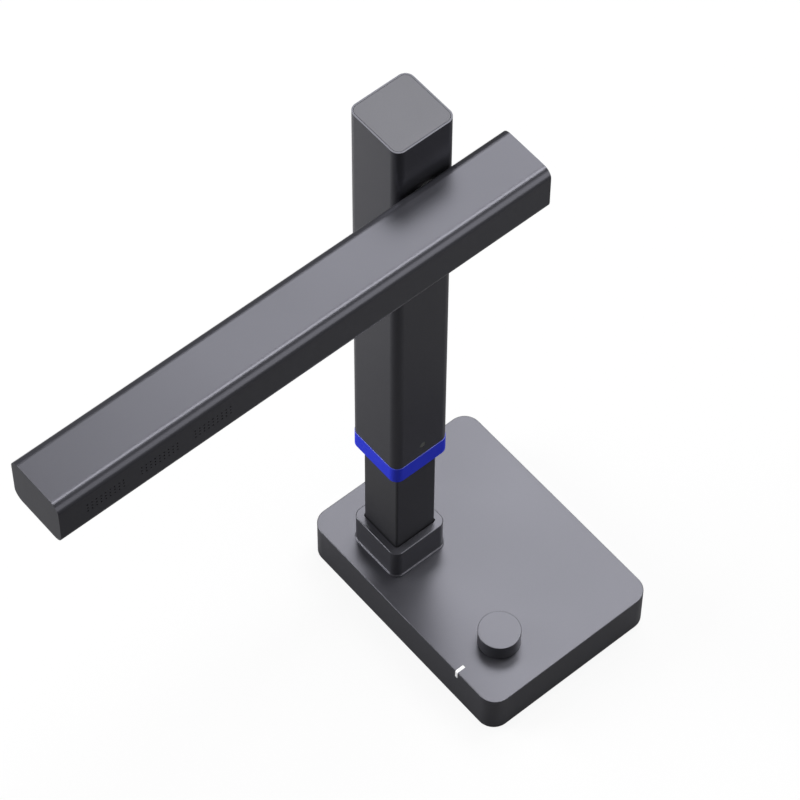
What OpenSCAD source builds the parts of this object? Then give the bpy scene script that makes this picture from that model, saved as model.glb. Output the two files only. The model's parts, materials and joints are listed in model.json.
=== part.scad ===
// Overhead document scanner on a telescoping mast, with a folding head bar.
// Millimetres. +Z up, +X to the user's right, -Y towards the user.
// The origin lies on the desk, under the centre of the base.
// The document lies on the desk at -X, under the long end of the bar.

/* [Base] */
// Width of the base, left to right
base_w = 124.7; // [120:0.1:135]
// Depth of the base, front to back
base_d = 168.9; // [164:0.1:180]
// Height of the base shell
base_h = 29.85; // [28:0.05:36]
// Radius of the base's upright corners
base_corner_r = 11; // [8:0.5:13]
// Radius along the base's top edge
base_edge_r = 0.5; // [0.3:0.1:1]
// Side wall of the base shell
base_wall = 2; // [1.6:0.1:2.4]
// Top wall of the base shell
base_top_t = 2.2; // [1.8:0.1:2.6]
// Gap between the desk and the shell's lower edge
foot_gap = 1; // [0.6:0.1:1.4]
// Thickness of the soft pad under the base
pad_t = 1.5; // [1.5:0.1:2]
// Thickness of the steel base plate
plate_t = 3; // [2.6:0.1:3.4]
// Height of the steel counterweight
weight_h = 16; // [10:0.5:16]

/* [Mast] */
// Mast axis from the base's left side
mast_inset_x = 33.1; // [32:0.05:36]
// Mast axis from the base's rear side
mast_inset_y = 44.75; // [44:0.05:46]
// Outer width of the sleeve, the mast's upper tube
sleeve_w = 40; // [39.6:0.1:42]
// Corner radius of the sleeve
sleeve_r = 5.55; // [4.5:0.05:6.5]
// Wall of the sleeve
sleeve_wall = 1.5; // [1.3:0.1:1.6]
// Top of the sleeve above the desk
mast_top = 447.8; // [440:0.1:460]
// Width of the column, the mast's lower tube
column_w = 29.8; // [29:0.1:30.2]
// Depth of the column
column_d = 29.8; // [29:0.1:30.2]
// Corner radius of the column
column_r = 1.3; // [0.8:0.1:1.8]
// Wall of the column
column_wall = 2; // [1.6:0.1:2.4]
// Length of the column
column_l = 265.5; // [260:0.5:276]
// Top of the collar above the desk
collar_top = 55.5; // [50:0.5:56]
// Width of the collar
collar_w = 40; // [39:0.1:41]
// Depth of the collar
collar_d = 40.4; // [39.6:0.1:41]
// Height of the ring's lower edge above the desk, as the photo shows it
ring_bottom = 136.4; // [130:0.1:150]
// Height of the ring's visible band
ring_h = 13.2; // [10:0.1:16]
// How far the ring stands out past the sleeve
ring_proud = 0.3; // [0.3:0.05:0.5]
// How far the sleeve can rise from the pose in the photo
slide_up = 40; // [20:1:45]

/* [Bar] */
// Bar's middle, and the hinge axis, below the mast's top
bar_drop = 48.5; // [46:0.1:52]
// Reach of the bar from the hinge axis over the document
bar_reach = 268.25; // [260:0.25:290]
// Length of the bar behind the hinge axis
bar_tail = 50.7; // [48:0.1:60]
// Width of the bar, front to back
bar_w = 38.2; // [37:0.1:42]
// Height of the bar
bar_h = 32.56; // [31:0.01:34]
// Radius along the bar's four long edges
bar_r = 5.95; // [4.5:0.05:7]
// Wall of the bar's housing
bar_wall = 2; // [1.8:0.1:2.2]
// Gap between the bar and the sleeve
bar_gap = 1.4; // [1.2:0.1:2]
// Thickness of the bar's bottom cover
cover_t = 2; // [1.8:0.1:2.4]

/* [Hinge] */
// Diameter of the hinge shaft
shaft_d = 12; // [11:0.5:13]
// Bore of the hinge shaft, where the cable passes
shaft_bore_d = 6.4; // [6:0.1:7]
// How far the bar folds down
fold_angle = 90; // [60:5:100]

/* [Grilles] */
// Columns of holes in one group
hole_cols = 9; // [5:1:10]
// Rows of holes in one group
hole_rows = 3; // [1:1:4]
// Diameter of one hole
hole_d = 1; // [0.6:0.1:1.4]
// Spacing of the columns
hole_pitch_x = 2.8; // [2.4:0.1:3]
// Spacing of the rows
hole_pitch_z = 2.7; // [2.4:0.1:3]
// Spacing of the groups along the bar
group_pitch = 33.65; // [31:0.05:35]
// Middle of the group nearest the bar's end, from that end
group_inset = 28.4; // [26:0.1:30]

/* [Knob] */
// Diameter of the knob
knob_d = 25.9; // [24:0.1:28]
// Height of the knob
knob_h = 11.6; // [11.2:0.1:14]
// Gap between the knob and the base
knob_gap = 1; // [0.8:0.1:1.6]
// Knob axis from the base's front side
knob_inset = 32.65; // [30:0.05:36]
// How far the knob is pressed
press_travel = 0.5; // [0.3:0.1:0.6]

/* [Camera and lamp] */
// Diameter of the camera's window
window_d = 23.6; // [20:0.1:24]
// Diameter of the lens barrel
lens_d = 11; // [9:0.5:12]
// Length of the lamp's diffuser
lamp_l = 150; // [120:1:160]
// Width of the lamp's diffuser
lamp_w = 12; // [8:0.5:13]
// Number of lamp chips
lamp_chips = 15; // [6:1:18]

/* [Hidden] */
$fn = 64;

// Colours as the photo shows them
satin_grey = [0.30, 0.30, 0.32];
dark_grey = [0.20, 0.20, 0.21];
ring_blue = [0.13, 0.17, 0.72];
steel = [0.62, 0.63, 0.65];
dark_steel = [0.35, 0.36, 0.38];
board_green = [0.10, 0.32, 0.20];
soft_black = [0.08, 0.08, 0.09];
lamp_white = [0.95, 0.95, 0.93];
brass = [0.72, 0.60, 0.32];
lens_tint = [0.15, 0.20, 0.28];

// Overrun of cuts past a face
cut = 1;
// Clearance round a fixed piece in its seat
seat_gap = 0.05;
// Radial clearance of a shaft in its bush, and flat clearance of the slide
run_gap = 0.05;
slide_gap = 0.15;
// Flat gap between faces that turn past each other
face_gap = 0.1;
// Clearance of a screw in its hole
screw_gap = 0.1;

// Levels of the base
base_bottom = foot_gap;
base_top = foot_gap + base_h;
base_ceiling = base_top - base_top_t;
plate_top = pad_t + plate_t;
inner_w = base_w - 2*base_wall;
inner_d = base_d - 2*base_wall;
inner_r = base_corner_r - base_wall;
pad_inset = 4;
plate_seat = 0.2;

// Countersunk screws of the base, the weight and the column foot
m3_d = 3;
m3_head_d = 5.6;
m3_head_h = 1.6;
base_screw_l = 9;
screw_inset = 9;
boss_d = 8;
boss_pilot_depth = 12;
boss_foot_gap = 7.7;

// Small screws of the circuit boards
m2_d = 2;
m2_head_d = 3.8;
m2_head_h = 1.3;
m2_l = 5;
board_t = 1.6;

// Mast positions
mast_x = -base_w/2 + mast_inset_x;
mast_y = base_d/2 - mast_inset_y;
column_top = plate_top + column_l;
sleeve_in = sleeve_w - 2*sleeve_wall;
sleeve_in_r = sleeve_r - sleeve_wall;
cap_rim = 1;
cap_groove = 0.2;
cap_t = 2.2;
cap_skirt_h = 8;
cap_skirt_t = 1.6;

// Collar
collar_r = 5.6;
collar_lip = 0.8;
collar_lip_h = 1;
collar_edge_r = 0.6;
collar_wall = 2;
collar_gap = 0.35;
collar_skirt_t = 1.8;
collar_skirt_depth = 1.6;

// Column foot
foot_flange_w = 56;
foot_flange_t = 5;
foot_flange_r = 4;
foot_socket_t = 3.4;
foot_socket_top = base_ceiling - collar_skirt_depth;
foot_screw_inset = 6;
column_screw_rise = 10;
column_screw_z = plate_top + foot_flange_t + column_screw_rise;
column_screw_l = 7;
column_screw_head_d = 5.5;
column_screw_head_h = 2;

// Slide: guide on the column, plug of the ring, stop band and pads
guide_h = 20;
guide_top_t = 2;
guide_hole_d = 10;
ring_top = ring_bottom + ring_h;
ring_edge_r = 0.25;
plug_h = 25;
plug_seat = 0.05;
plug_top = ring_top + plug_h;
stop_h = 6;
stop_clear = 0.5;
stop_rim = 2.6;
stop_bottom = plug_top + slide_up + stop_clear;
pad_w = 12;
pad_h = 15.6;
pad_depth = 2;
pad_z = ring_top + plug_h/2;
pad_seat = 0.2;
spring_w = 10;
spring_half = 7;
spring_t = 0.3;
rivet_d = 4.4;
rivet_l = 3.6;
rivet_above_ring = 9.4;

// Hinge, placed along Y from the bar's inner wall to the sleeve's back wall
bar_z = mast_top - bar_drop;
bar_back = mast_y - sleeve_w/2 - bar_gap;
bar_front = bar_back - bar_w;
bar_mid_y = bar_back - bar_w/2;
bar_x0 = mast_x - bar_reach;
bar_x1 = mast_x + bar_tail;
bar_len = bar_reach + bar_tail;
bar_bottom = bar_z - bar_h/2;
frame_t = 2;
flange_d = 27;
flange_t = 3;
flange_screw_r = 10;
flange_screw_l = 6.2;
flange_screw_head_d = 5.2;
flange_screw_head_h = 1.8;
frame_y = bar_back - bar_wall - frame_t;
flange_y = frame_y - flange_t;
spacer_d = 17;
spacer_t = bar_gap - 2*face_gap;
block_w = sleeve_in - 2*seat_gap;
block_h = 36;
block_d = 21.6;
block_y = mast_y - sleeve_in/2 + seat_gap;
block_back = block_y + block_d;
block_r = sleeve_in_r - seat_gap;
block_screw_off = 13.5;
block_screw_rise = 5;
block_screw_l = 9;
bush_t = 1.5;
stop_disc_d = 26;
stop_disc_t = 3;
pin_d = 3;
pin_orbit = 9.6;
pin_gap = 0.2;
pin_sink = 6;
pin_start = 225;
shaft_flat = 1;
disc_spring_t = 0.8;
disc_spring_rise = 0.5;
disc_spring_d = 22;
nut_flats = 19;
nut_t = 5.6;
shaft_over = 1.2;
stop_disc_y = block_back + face_gap;
springs_y = stop_disc_y + stop_disc_t;
nut_y = springs_y + 2*(disc_spring_t + disc_spring_rise);
shaft_end = nut_y + nut_t + shaft_over;

// Bar's inside
cover_inset = 4;
cover_w = bar_w - 2*bar_r - 0.3*bar_wall;
cover_seat = 0.1;
bar_floor = bar_bottom + cover_t;
bar_ceiling = bar_bottom + bar_h - bar_wall;
bar_boss_d = 6.4;
bar_screw_l = 8;
bar_boss_pilot = 8;
camera_x = bar_x0 + group_inset + group_pitch;
frame_inset = 6;
frame_h = 20;
frame_lip = 9;
frame_bottom = bar_z - frame_h/2;

// Camera
cam_board_w = 26;
cam_board_tail = 6;
cam_board_d = 20;
cam_board_rise = 2;
cam_board_z = bar_z + cam_board_rise;
cam_post_d = 4;
cam_post_inset_x = 2.2;
cam_post_inset_y = 2.2;
window_t = 1.2;
window_ledge = 1.8;
post_sink = 0.5;
holder_w = 14;
holder_h = 6;
barrel_l = 12;
barrel_wall = 1.2;
barrel_lift = 3;
barrel_z = bar_floor + barrel_lift;
lens_t = 3;
connector_l = 4.4;

// Lamp
lamp_off = 116;
lamp_x = camera_x + lamp_off;
lamp_flange = 1.5;
lamp_flange_t = 1.5;
led_board_d = 22;
led_board_over = 2;
led_board_l = lamp_l + 2*led_board_over;
led_lift = 4;
led_z = bar_floor + led_lift;
chip_w = 2.8;
chip_l = 3.5;
chip_t = 0.8;
led_board_z = led_z + chip_t;
led_post_d = 4;
led_post_inset = 2.2;

// Speakers behind the grilles
speaker_w = 28;
speaker_h = 14;
speaker_t = 5.4;
speaker_cone_d = 11;
speaker_cone_depth = 1;
speaker_rim_gap = 0.05;

// Cables
cable_d = 4;
cable_bend = 8;
cable_off = 6.3;
cable_y = bar_mid_y + cable_off;
mast_cable_d = 5;
mast_cable_rise = 5.5;
mast_cable_z = plate_top + foot_flange_t + mast_cable_rise;
mast_cable_hole_d = 7;
coil_d = 16;
coil_bore_d = 9;

// Knob and encoder
knob_x = mast_x;
knob_y = -base_d/2 + knob_inset;
knob_bottom = base_top + knob_gap;
knob_top = knob_bottom + knob_h;
knob_edge_r = 0.4;
knob_wall = 1.5;
insert_lift = 0.3;
insert_cavity_d = 14;
insert_cavity_h = 4.55;
encoder_w = 12;
encoder_h = 6.5;
encoder_z = base_ceiling - encoder_h;
encoder_floor = 0.8;
encoder_cavity_d = 10;
encoder_roof = 0.8;
bush_d = 7;
bush_rise = 4.8;
bush_l = base_top_t + bush_rise;
knob_shaft_d = 6;
knob_flat = 1.5;
rotor_d = 9.2;
rotor_t = 1.2;
plunger_d = 8;
plunger_t = 2.8;
encoder_nut_flats = 10;
encoder_nut_t = 2;
rotor_top = base_ceiling - encoder_roof - face_gap;
insert_roof = knob_top - knob_wall - seat_gap;
shaft_top = insert_roof - 2*knob_edge_r;
knob_board_z = encoder_z - board_t;
knob_board_d = 20.4;
knob_board_gap = 0.5;
knob_boss_off_x = 15;
knob_boss_off_y = 6;
knob_boss_d = 6;
knob_board_tail = 4.5;

// Light pipe and its lamp
pipe_w = 2;
pipe_top_l = 6;
pipe_side_l = 6.2;
pipe_led_gap = 0.2;
status_led_h = 1;
status_led_w = 1.6;
status_led_l = 3;

// Main board, its port and the weight
standoff_h = 5;
standoff_d = 5;
main_board_z = plate_top + standoff_h;
main_board_top = main_board_z + board_t;
inside_boss_gap = 1.35;
inside_right = base_w/2 - screw_inset - boss_d/2 - inside_boss_gap;
main_board_gap = 4.25;
main_board_x = mast_x + foot_flange_w/2 + main_board_gap;
main_board_w = inside_right - main_board_x;
main_board_d = 51;
main_board_back = 0.95;
main_board_y = base_d/2 - base_wall - main_board_back - main_board_d;
board_hole_inset = 3.2;
port_w = 9;
port_h = 3.3;
port_l = 7.4;
port_inset = 0.5;
port_gap = 0.2;
port_shell_t = 0.3;
tongue_t = 0.7;
chip_size = 12;
chip_rise = 1.3;
lead_socket_w = 7;
lead_socket_l = 6;
weight_side_gap = 5.25;
weight_back_gap = 1.65;
weight_front = 6.5;
weight_x = knob_x + knob_boss_off_x + knob_boss_d/2 + weight_side_gap;
weight_y = -base_d/2 + base_wall + weight_front;
weight_w = inside_right - weight_x;
weight_d = mast_y - foot_flange_w/2 - weight_back_gap - weight_y;
weight_r = 3;
weight_screw_inset = 12;
ribbon_w = 8;
ribbon_t = 0.4;
ribbon_z = knob_board_z + board_t/2;
ribbon_off = 13;
ribbon_x = main_board_x + ribbon_off;

// A rectangle with round corners
module round_rect(w, d, r) {
    square([w - 2*r, d], center = true);
    square([w, d - 2*r], center = true);
    for (x = [-1, 1], y = [-1, 1])
        translate([x*(w/2 - r), y*(d/2 - r)]) circle(r);
}

// An upright block with round corners
module block(w, d, r, h) {
    linear_extrude(h) round_rect(w, d, r);
}

// The same block with its top edge rounded
module soft_block(w, d, r, h, edge) {
    block(w, d, r, h - edge);
    block(w - 2*edge, d - 2*edge, r - edge, h);
    for (s = [-1, 1]) {
        translate([s*(w/2 - edge), 0, h - edge])
            rotate([90, 0, 0]) cylinder(r = edge, h = d - 2*r, center = true);
        translate([0, s*(d/2 - edge), h - edge])
            rotate([0, 90, 0]) cylinder(r = edge, h = w - 2*r, center = true);
    }
    for (x = [-1, 1], y = [-1, 1])
        translate([x*(w/2 - r), y*(d/2 - r), h - edge])
            rotate_extrude() translate([r - edge, 0]) circle(edge);
}

// A countersunk screw along +Z, its head's flat face at zero
module sunk_screw(d, l, head_d, head_h) {
    cylinder(d1 = head_d, d2 = d, h = head_h);
    cylinder(d = d, h = l);
}

// A hole for that screw
module sunk_hole(d, l, head_d, head_h) {
    cylinder(d1 = head_d + 2*screw_gap, d2 = d + 2*screw_gap, h = head_h);
    cylinder(d = d + 2*screw_gap, h = l);
    translate([0, 0, -cut]) cylinder(d = head_d + 2*screw_gap, h = cut + screw_gap/2);
}

// A pan-head screw along -Z, the underside of its head at zero
module pan_screw(d, l, head_d, head_h) {
    cylinder(d = head_d, h = head_h);
    translate([0, 0, -l]) cylinder(d = d, h = l);
}

// Places of the base shell's screws
function shell_screws() = [for (x = [-1, 1], y = [-base_d/2 + screw_inset,
    mast_y - foot_flange_w/2 - boss_d/2 - boss_foot_gap, base_d/2 - screw_inset])
    [x*(base_w/2 - screw_inset), y]];

// Places of the foot's screws
function foot_screws() = [for (x = [-1, 1], y = [-1, 1])
    [mast_x + x*(foot_flange_w/2 - foot_screw_inset),
     mast_y + y*(foot_flange_w/2 - foot_screw_inset)]];

// Places of the weight's screws
function weight_screws() = [for (y = [weight_screw_inset, weight_d - weight_screw_inset])
    [weight_x + weight_w/2, weight_y + y]];

// Places of the main board's screws
function main_board_screws() = [for (x = [board_hole_inset, main_board_w - board_hole_inset],
    y = [board_hole_inset, main_board_d - board_hole_inset])
    [main_board_x + x, main_board_y + y]];

// Places of the knob board's screws
function knob_board_screws() = [for (s = [-1, 1])
    [knob_x + s*knob_boss_off_x, knob_y - s*knob_boss_off_y]];

// Places of the hinge block's screws on its front face, all behind the bar
function block_screws_at() = [for (x = [-1, 1], down = [-block_screw_rise, block_screw_off])
    [x*block_screw_off, down, 0]];

module at_mast(z = 0) {
    translate([mast_x, mast_y, z]) children();
}

module at_knob(z = 0) {
    translate([knob_x, knob_y, z]) children();
}

// Turns a piece made along +Z to lie along +Y on the hinge axis
module on_hinge(y) {
    translate([mast_x, y, bar_z]) rotate([-90, 0, 0]) children();
}

// A length of the bar's section, from x0 to x1
module bar_section(w, h, r, x0, x1) {
    translate([x0, bar_mid_y, bar_z]) rotate([90, 0, 90])
        linear_extrude(x1 - x0) round_rect(w, h, r);
}

// The outer shape of the base shell
module base_envelope() {
    translate([0, 0, base_bottom])
        soft_block(base_w, base_d, base_corner_r, base_h, base_edge_r);
}

// The light pipe's own shape, grown by a clearance for its slot
module pipe_shape(grow) {
    left = -base_w/2;
    translate([left - grow, knob_y - pipe_w/2 - grow, base_top - pipe_side_l - grow])
        cube([base_wall + 2*grow, pipe_w + 2*grow, pipe_side_l + 2*grow]);
    translate([left - grow, knob_y - pipe_w/2 - grow, base_ceiling - grow])
        cube([pipe_top_l + 2*grow, pipe_w + 2*grow, base_top_t + 2*grow]);
}

module port_opening(grow) {
    y = base_d/2 - base_wall - cut;
    translate([main_board_x + main_board_w/2, y, main_board_top + port_h/2])
        rotate([-90, 0, 0])
            linear_extrude(base_wall + 2*cut)
                round_rect(port_w + 2*grow, port_h + 2*grow, port_h/2 + grow - seat_gap);
}

module base_cover() {
    color(satin_grey) {
        difference() {
            base_envelope();
            translate([0, 0, base_bottom - cut])
                block(inner_w, inner_d, inner_r, base_h - base_top_t + cut);
            at_mast(base_ceiling - cut)
                block(column_w + 2*(collar_gap + collar_skirt_t + screw_gap),
                    column_d + 2*(collar_gap + collar_skirt_t + screw_gap),
                    column_r + collar_gap + collar_skirt_t, base_top_t + 2*cut);
            at_knob(base_ceiling - cut)
                cylinder(d = bush_d + 2*screw_gap, h = base_top_t + 2*cut);
            pipe_shape(seat_gap);
            port_opening(port_gap);
        }
        for (p = shell_screws())
            translate([p.x, p.y, plate_top]) difference() {
                cylinder(d = boss_d, h = base_ceiling - plate_top + base_top_t/2);
                translate([0, 0, -cut])
                    cylinder(d = m3_d + 2*screw_gap, h = boss_pilot_depth + cut);
            }
        for (p = knob_board_screws())
            translate([p.x, p.y, encoder_z]) difference() {
                cylinder(d = knob_boss_d, h = encoder_h + base_top_t/2);
                translate([0, 0, -cut]) cylinder(d = m2_d + 2*screw_gap, h = m2_l + cut);
            }
    }
}

module base_plate() {
    color(dark_steel) difference() {
        translate([0, 0, pad_t])
            block(inner_w - 2*plate_seat, inner_d - 2*plate_seat, inner_r - plate_seat, plate_t);
        for (p = concat(shell_screws(), foot_screws(), weight_screws()))
            translate([p.x, p.y, pad_t])
                sunk_hole(m3_d, plate_t + cut, m3_head_d, m3_head_h);
    }
}

module base_pad() {
    color(soft_black)
        block(base_w - 2*pad_inset, base_d - 2*pad_inset, base_corner_r - pad_inset, pad_t);
}

module base_screws() {
    color(steel) for (p = concat(shell_screws(), foot_screws(), weight_screws()))
        translate([p.x, p.y, pad_t + screw_gap])
            sunk_screw(m3_d, base_screw_l, m3_head_d, m3_head_h);
}

module counterweight() {
    color(dark_steel) difference() {
        translate([weight_x + weight_w/2, weight_y + weight_d/2, plate_top])
            block(weight_w, weight_d, weight_r, weight_h);
        for (p = weight_screws())
            translate([p.x, p.y, plate_top - cut])
                cylinder(d = m3_d + 2*screw_gap, h = base_screw_l + cut - screw_gap);
    }
}

module main_board() {
    color(board_green) difference() {
        union() {
            translate([main_board_x, main_board_y, main_board_z])
                cube([main_board_w, main_board_d, board_t]);
            translate([main_board_x + main_board_w/2, main_board_y + main_board_d/2,
                main_board_top - board_t/2])
                translate([-chip_size/2, -chip_size/2, 0])
                    cube([chip_size, chip_size, chip_rise + board_t/2]);
            translate([main_board_x, mast_y - lead_socket_w/2, main_board_top - board_t/2])
                cube([lead_socket_l, lead_socket_w,
                    mast_cable_z + mast_cable_d/2 - main_board_top + board_t/2]);
        }
        for (p = main_board_screws())
            translate([p.x, p.y, main_board_z - cut])
                cylinder(d = m2_d + 2*screw_gap, h = board_t + 2*cut);
    }
}

module board_standoffs() {
    color(brass) for (p = main_board_screws())
        translate([p.x, p.y, plate_top]) difference() {
            cylinder(d = standoff_d, h = standoff_h);
            translate([0, 0, standoff_h - m2_l])
                cylinder(d = m2_d + 2*screw_gap, h = m2_l + cut);
        }
}

// Screws that hold the main board from above and the knob board from below
module board_screws() {
    color(steel) {
        for (p = main_board_screws())
            translate([p.x, p.y, main_board_top])
                pan_screw(m2_d, m2_l, m2_head_d, m2_head_h);
        for (p = knob_board_screws())
            translate([p.x, p.y, knob_board_z]) rotate([180, 0, 0])
                pan_screw(m2_d, m2_l, m2_head_d, m2_head_h);
    }
}

module usb_c_port() {
    color(steel) translate([main_board_x + main_board_w/2,
        base_d/2 - port_inset - port_l, main_board_top + port_h/2])
        rotate([-90, 0, 0]) {
            linear_extrude(port_l) difference() {
                round_rect(port_w, port_h, port_h/2 - seat_gap);
                round_rect(port_w - 2*port_shell_t, port_h - 2*port_shell_t,
                    port_h/2 - port_shell_t - seat_gap);
            }
            linear_extrude(port_shell_t + seat_gap)
                round_rect(port_w, port_h, port_h/2 - seat_gap);
            linear_extrude(port_l - port_h/2)
                square([port_w - port_h, tongue_t], center = true);
        }
}

// From the main board into the column, then up to the guide
module mast_cable() {
    color(soft_black) {
        translate([mast_x + cable_bend, mast_y, mast_cable_z]) rotate([0, 90, 0])
            cylinder(d = mast_cable_d, h = main_board_x - mast_x - cable_bend);
        translate([mast_x + cable_bend, mast_y, mast_cable_z + cable_bend])
            rotate([90, 0, 0]) rotate([0, 0, 180]) rotate_extrude(angle = 90)
                translate([cable_bend, 0]) circle(d = mast_cable_d);
        at_mast(mast_cable_z + cable_bend)
            cylinder(d = mast_cable_d, h = column_top + guide_top_t - mast_cable_z - cable_bend);
    }
}

// Flat cable from the knob's board to the main board
module knob_ribbon() {
    start = knob_x + knob_boss_off_x + knob_board_tail;
    color(lamp_white) {
        translate([start, knob_y - ribbon_w/2, ribbon_z])
            cube([ribbon_x + ribbon_w - start, ribbon_w, ribbon_t]);
        translate([ribbon_x, knob_y - ribbon_w/2, ribbon_z])
            cube([ribbon_w, main_board_y - knob_y + ribbon_w/2 + ribbon_t, ribbon_t]);
        translate([ribbon_x, main_board_y, main_board_top])
            cube([ribbon_w, ribbon_t, ribbon_z - main_board_top + ribbon_t]);
    }
}

module knob_board() {
    left = -base_w/2 + base_wall + knob_board_gap;
    right = knob_x + knob_boss_off_x + knob_board_tail;
    color(board_green) difference() {
        translate([left, knob_y - knob_board_d/2, knob_board_z])
            cube([right - left, knob_board_d, board_t]);
        for (p = knob_board_screws())
            translate([p.x, p.y, knob_board_z - cut])
                cylinder(d = m2_d + 2*screw_gap, h = board_t + 2*cut);
    }
}

module encoder_body() {
    color(steel) at_knob() difference() {
        union() {
            translate([-encoder_w/2, -encoder_w/2, encoder_z])
                cube([encoder_w, encoder_w, encoder_h]);
            translate([0, 0, base_ceiling - encoder_roof/2])
                cylinder(d = bush_d, h = bush_l + encoder_roof/2);
        }
        translate([0, 0, encoder_z + encoder_floor])
            cylinder(d = encoder_cavity_d, h = encoder_h - encoder_floor - encoder_roof);
        translate([0, 0, base_ceiling - encoder_roof - cut])
            cylinder(d = knob_shaft_d + 2*run_gap, h = bush_l + encoder_roof + 2*cut);
    }
}

module encoder_nut() {
    color(steel) at_knob(base_top) difference() {
        cylinder(d = encoder_nut_flats/cos(30), h = encoder_nut_t, $fn = 6);
        translate([0, 0, -cut])
            cylinder(d = bush_d + 2*seat_gap, h = encoder_nut_t + 2*cut);
    }
}

module status_led() {
    color(lamp_white)
        translate([-base_w/2 + (base_wall + pipe_top_l)/2 - status_led_l/2,
            knob_y - status_led_w/2, encoder_z])
            cube([status_led_l, status_led_w, status_led_h]);
}

module light_pipe() {
    color(lamp_white) {
        intersection() {
            base_envelope();
            pipe_shape(0);
        }
        translate([-base_w/2 + base_wall + seat_gap, knob_y - pipe_w/2,
            encoder_z + status_led_h + pipe_led_gap])
            cube([pipe_top_l - base_wall - seat_gap, pipe_w,
                base_ceiling + base_top_t/2 - encoder_z - status_led_h - pipe_led_gap]);
    }
}

module column_gap_outline(grow) {
    round_rect(column_w + 2*grow, column_d + 2*grow, column_r + grow);
}

module collar() {
    height = collar_top - base_top;
    color(dark_grey) at_mast(base_top) difference() {
        union() {
            difference() {
                union() {
                    soft_block(collar_w, collar_d, collar_r, height, collar_edge_r);
                    block(collar_w + 2*collar_lip, collar_d + 2*collar_lip,
                        collar_r + collar_lip, collar_lip_h);
                }
                translate([0, 0, -cut])
                    block(collar_w - 2*collar_wall, collar_d - 2*collar_wall,
                        collar_r - collar_wall, height - collar_wall + cut);
            }
            translate([0, 0, -base_top_t - collar_skirt_depth + cut])
                linear_extrude(height + base_top_t + collar_skirt_depth - collar_wall)
                    column_gap_outline(collar_gap + collar_skirt_t);
        }
        translate([0, 0, -base_h]) linear_extrude(base_h + height + cut)
            column_gap_outline(collar_gap);
    }
}

module column_foot() {
    color(dark_steel) at_mast() difference() {
        union() {
            translate([0, 0, plate_top])
                block(foot_flange_w, foot_flange_w, foot_flange_r, foot_flange_t);
            translate([0, 0, plate_top]) linear_extrude(foot_socket_top - plate_top)
                column_gap_outline(foot_socket_t);
        }
        translate([0, 0, plate_top - cut]) linear_extrude(foot_socket_top)
            column_gap_outline(screw_gap);
        translate([0, 0, mast_cable_z]) rotate([0, 90, 0])
            cylinder(d = mast_cable_hole_d, h = foot_flange_w);
        translate([0, 0, column_screw_z]) rotate([90, 0, 0])
            cylinder(d = m3_d + 2*screw_gap, h = 2*column_d, center = true);
        for (p = foot_screws())
            translate([p.x - mast_x, p.y - mast_y, plate_top - cut])
                cylinder(d = m3_d + 2*screw_gap, h = foot_flange_t + 2*cut);
    }
}

module column() {
    color(dark_grey) at_mast() difference() {
        translate([0, 0, plate_top]) linear_extrude(column_top - plate_top)
            column_gap_outline(0);
        translate([0, 0, plate_top - cut]) linear_extrude(column_top - plate_top + 2*cut)
            round_rect(column_w - 2*column_wall, column_d - 2*column_wall, column_r/2);
        translate([0, 0, mast_cable_z]) rotate([0, 90, 0])
            cylinder(d = mast_cable_hole_d, h = column_w);
        translate([0, 0, column_screw_z]) rotate([90, 0, 0])
            cylinder(d = m3_d + 2*screw_gap, h = 2*column_d, center = true);
    }
}

module column_screws() {
    color(steel) at_mast(column_screw_z) for (s = [-1, 1])
        translate([0, s*(column_d/2 + foot_socket_t), 0]) rotate([-s*90, 0, 0])
            pan_screw(m3_d, column_screw_l, column_screw_head_d, column_screw_head_h);
}

// Slides inside the sleeve, fixed on the column's top end
module column_guide() {
    outer = sleeve_in - 2*slide_gap;
    color(lamp_white) at_mast(column_top + guide_top_t - guide_h) difference() {
        block(outer, outer, sleeve_in_r - slide_gap, guide_h);
        translate([0, 0, -cut]) linear_extrude(guide_h - guide_top_t + cut)
            column_gap_outline(seat_gap);
        translate([0, 0, -cut]) cylinder(d = guide_hole_d, h = guide_h + 2*cut);
    }
}

// Band on the column that stops the ring's plug at full height
module slide_stop() {
    color(soft_black) at_mast(stop_bottom) linear_extrude(stop_h) difference() {
        column_gap_outline(stop_rim);
        column_gap_outline(seat_gap);
    }
}

// Outer shape of the coiled lead that stretches as the mast rises
module coiled_lead() {
    start = column_top + guide_top_t;
    color(soft_black) at_mast(start) difference() {
        cylinder(d = coil_d, h = bar_z - block_h/2 - start);
        translate([0, 0, -cut]) cylinder(d = coil_bore_d, h = bar_z);
    }
}

// Moves only up and down, under the turning shaft
module encoder_plunger() {
    color(lamp_white) at_knob(rotor_top - rotor_t - face_gap - plunger_t)
        cylinder(d = plunger_d, h = plunger_t);
}

module encoder_shaft() {
    color(steel) at_knob(rotor_top - rotor_t) {
        cylinder(d = rotor_d, h = rotor_t);
        difference() {
            cylinder(d = knob_shaft_d, h = shaft_top - rotor_top + rotor_t);
            translate([knob_shaft_d/2 - knob_flat, -knob_shaft_d/2,
                base_top + bush_l - base_top_t - rotor_top + rotor_t + face_gap])
                cube([knob_shaft_d, knob_shaft_d, knob_h]);
        }
    }
}

module knob_cap() {
    color(satin_grey) at_knob(knob_bottom) difference() {
        union() {
            cylinder(d = knob_d, h = knob_h - knob_edge_r, $fn = 96);
            cylinder(d = knob_d - 2*knob_edge_r, h = knob_h, $fn = 96);
            translate([0, 0, knob_h - knob_edge_r]) rotate_extrude($fn = 96)
                translate([knob_d/2 - knob_edge_r, 0]) circle(knob_edge_r);
        }
        translate([0, 0, -cut])
            cylinder(d = knob_d - 2*knob_wall, h = knob_h - knob_wall + cut, $fn = 96);
    }
}

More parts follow.
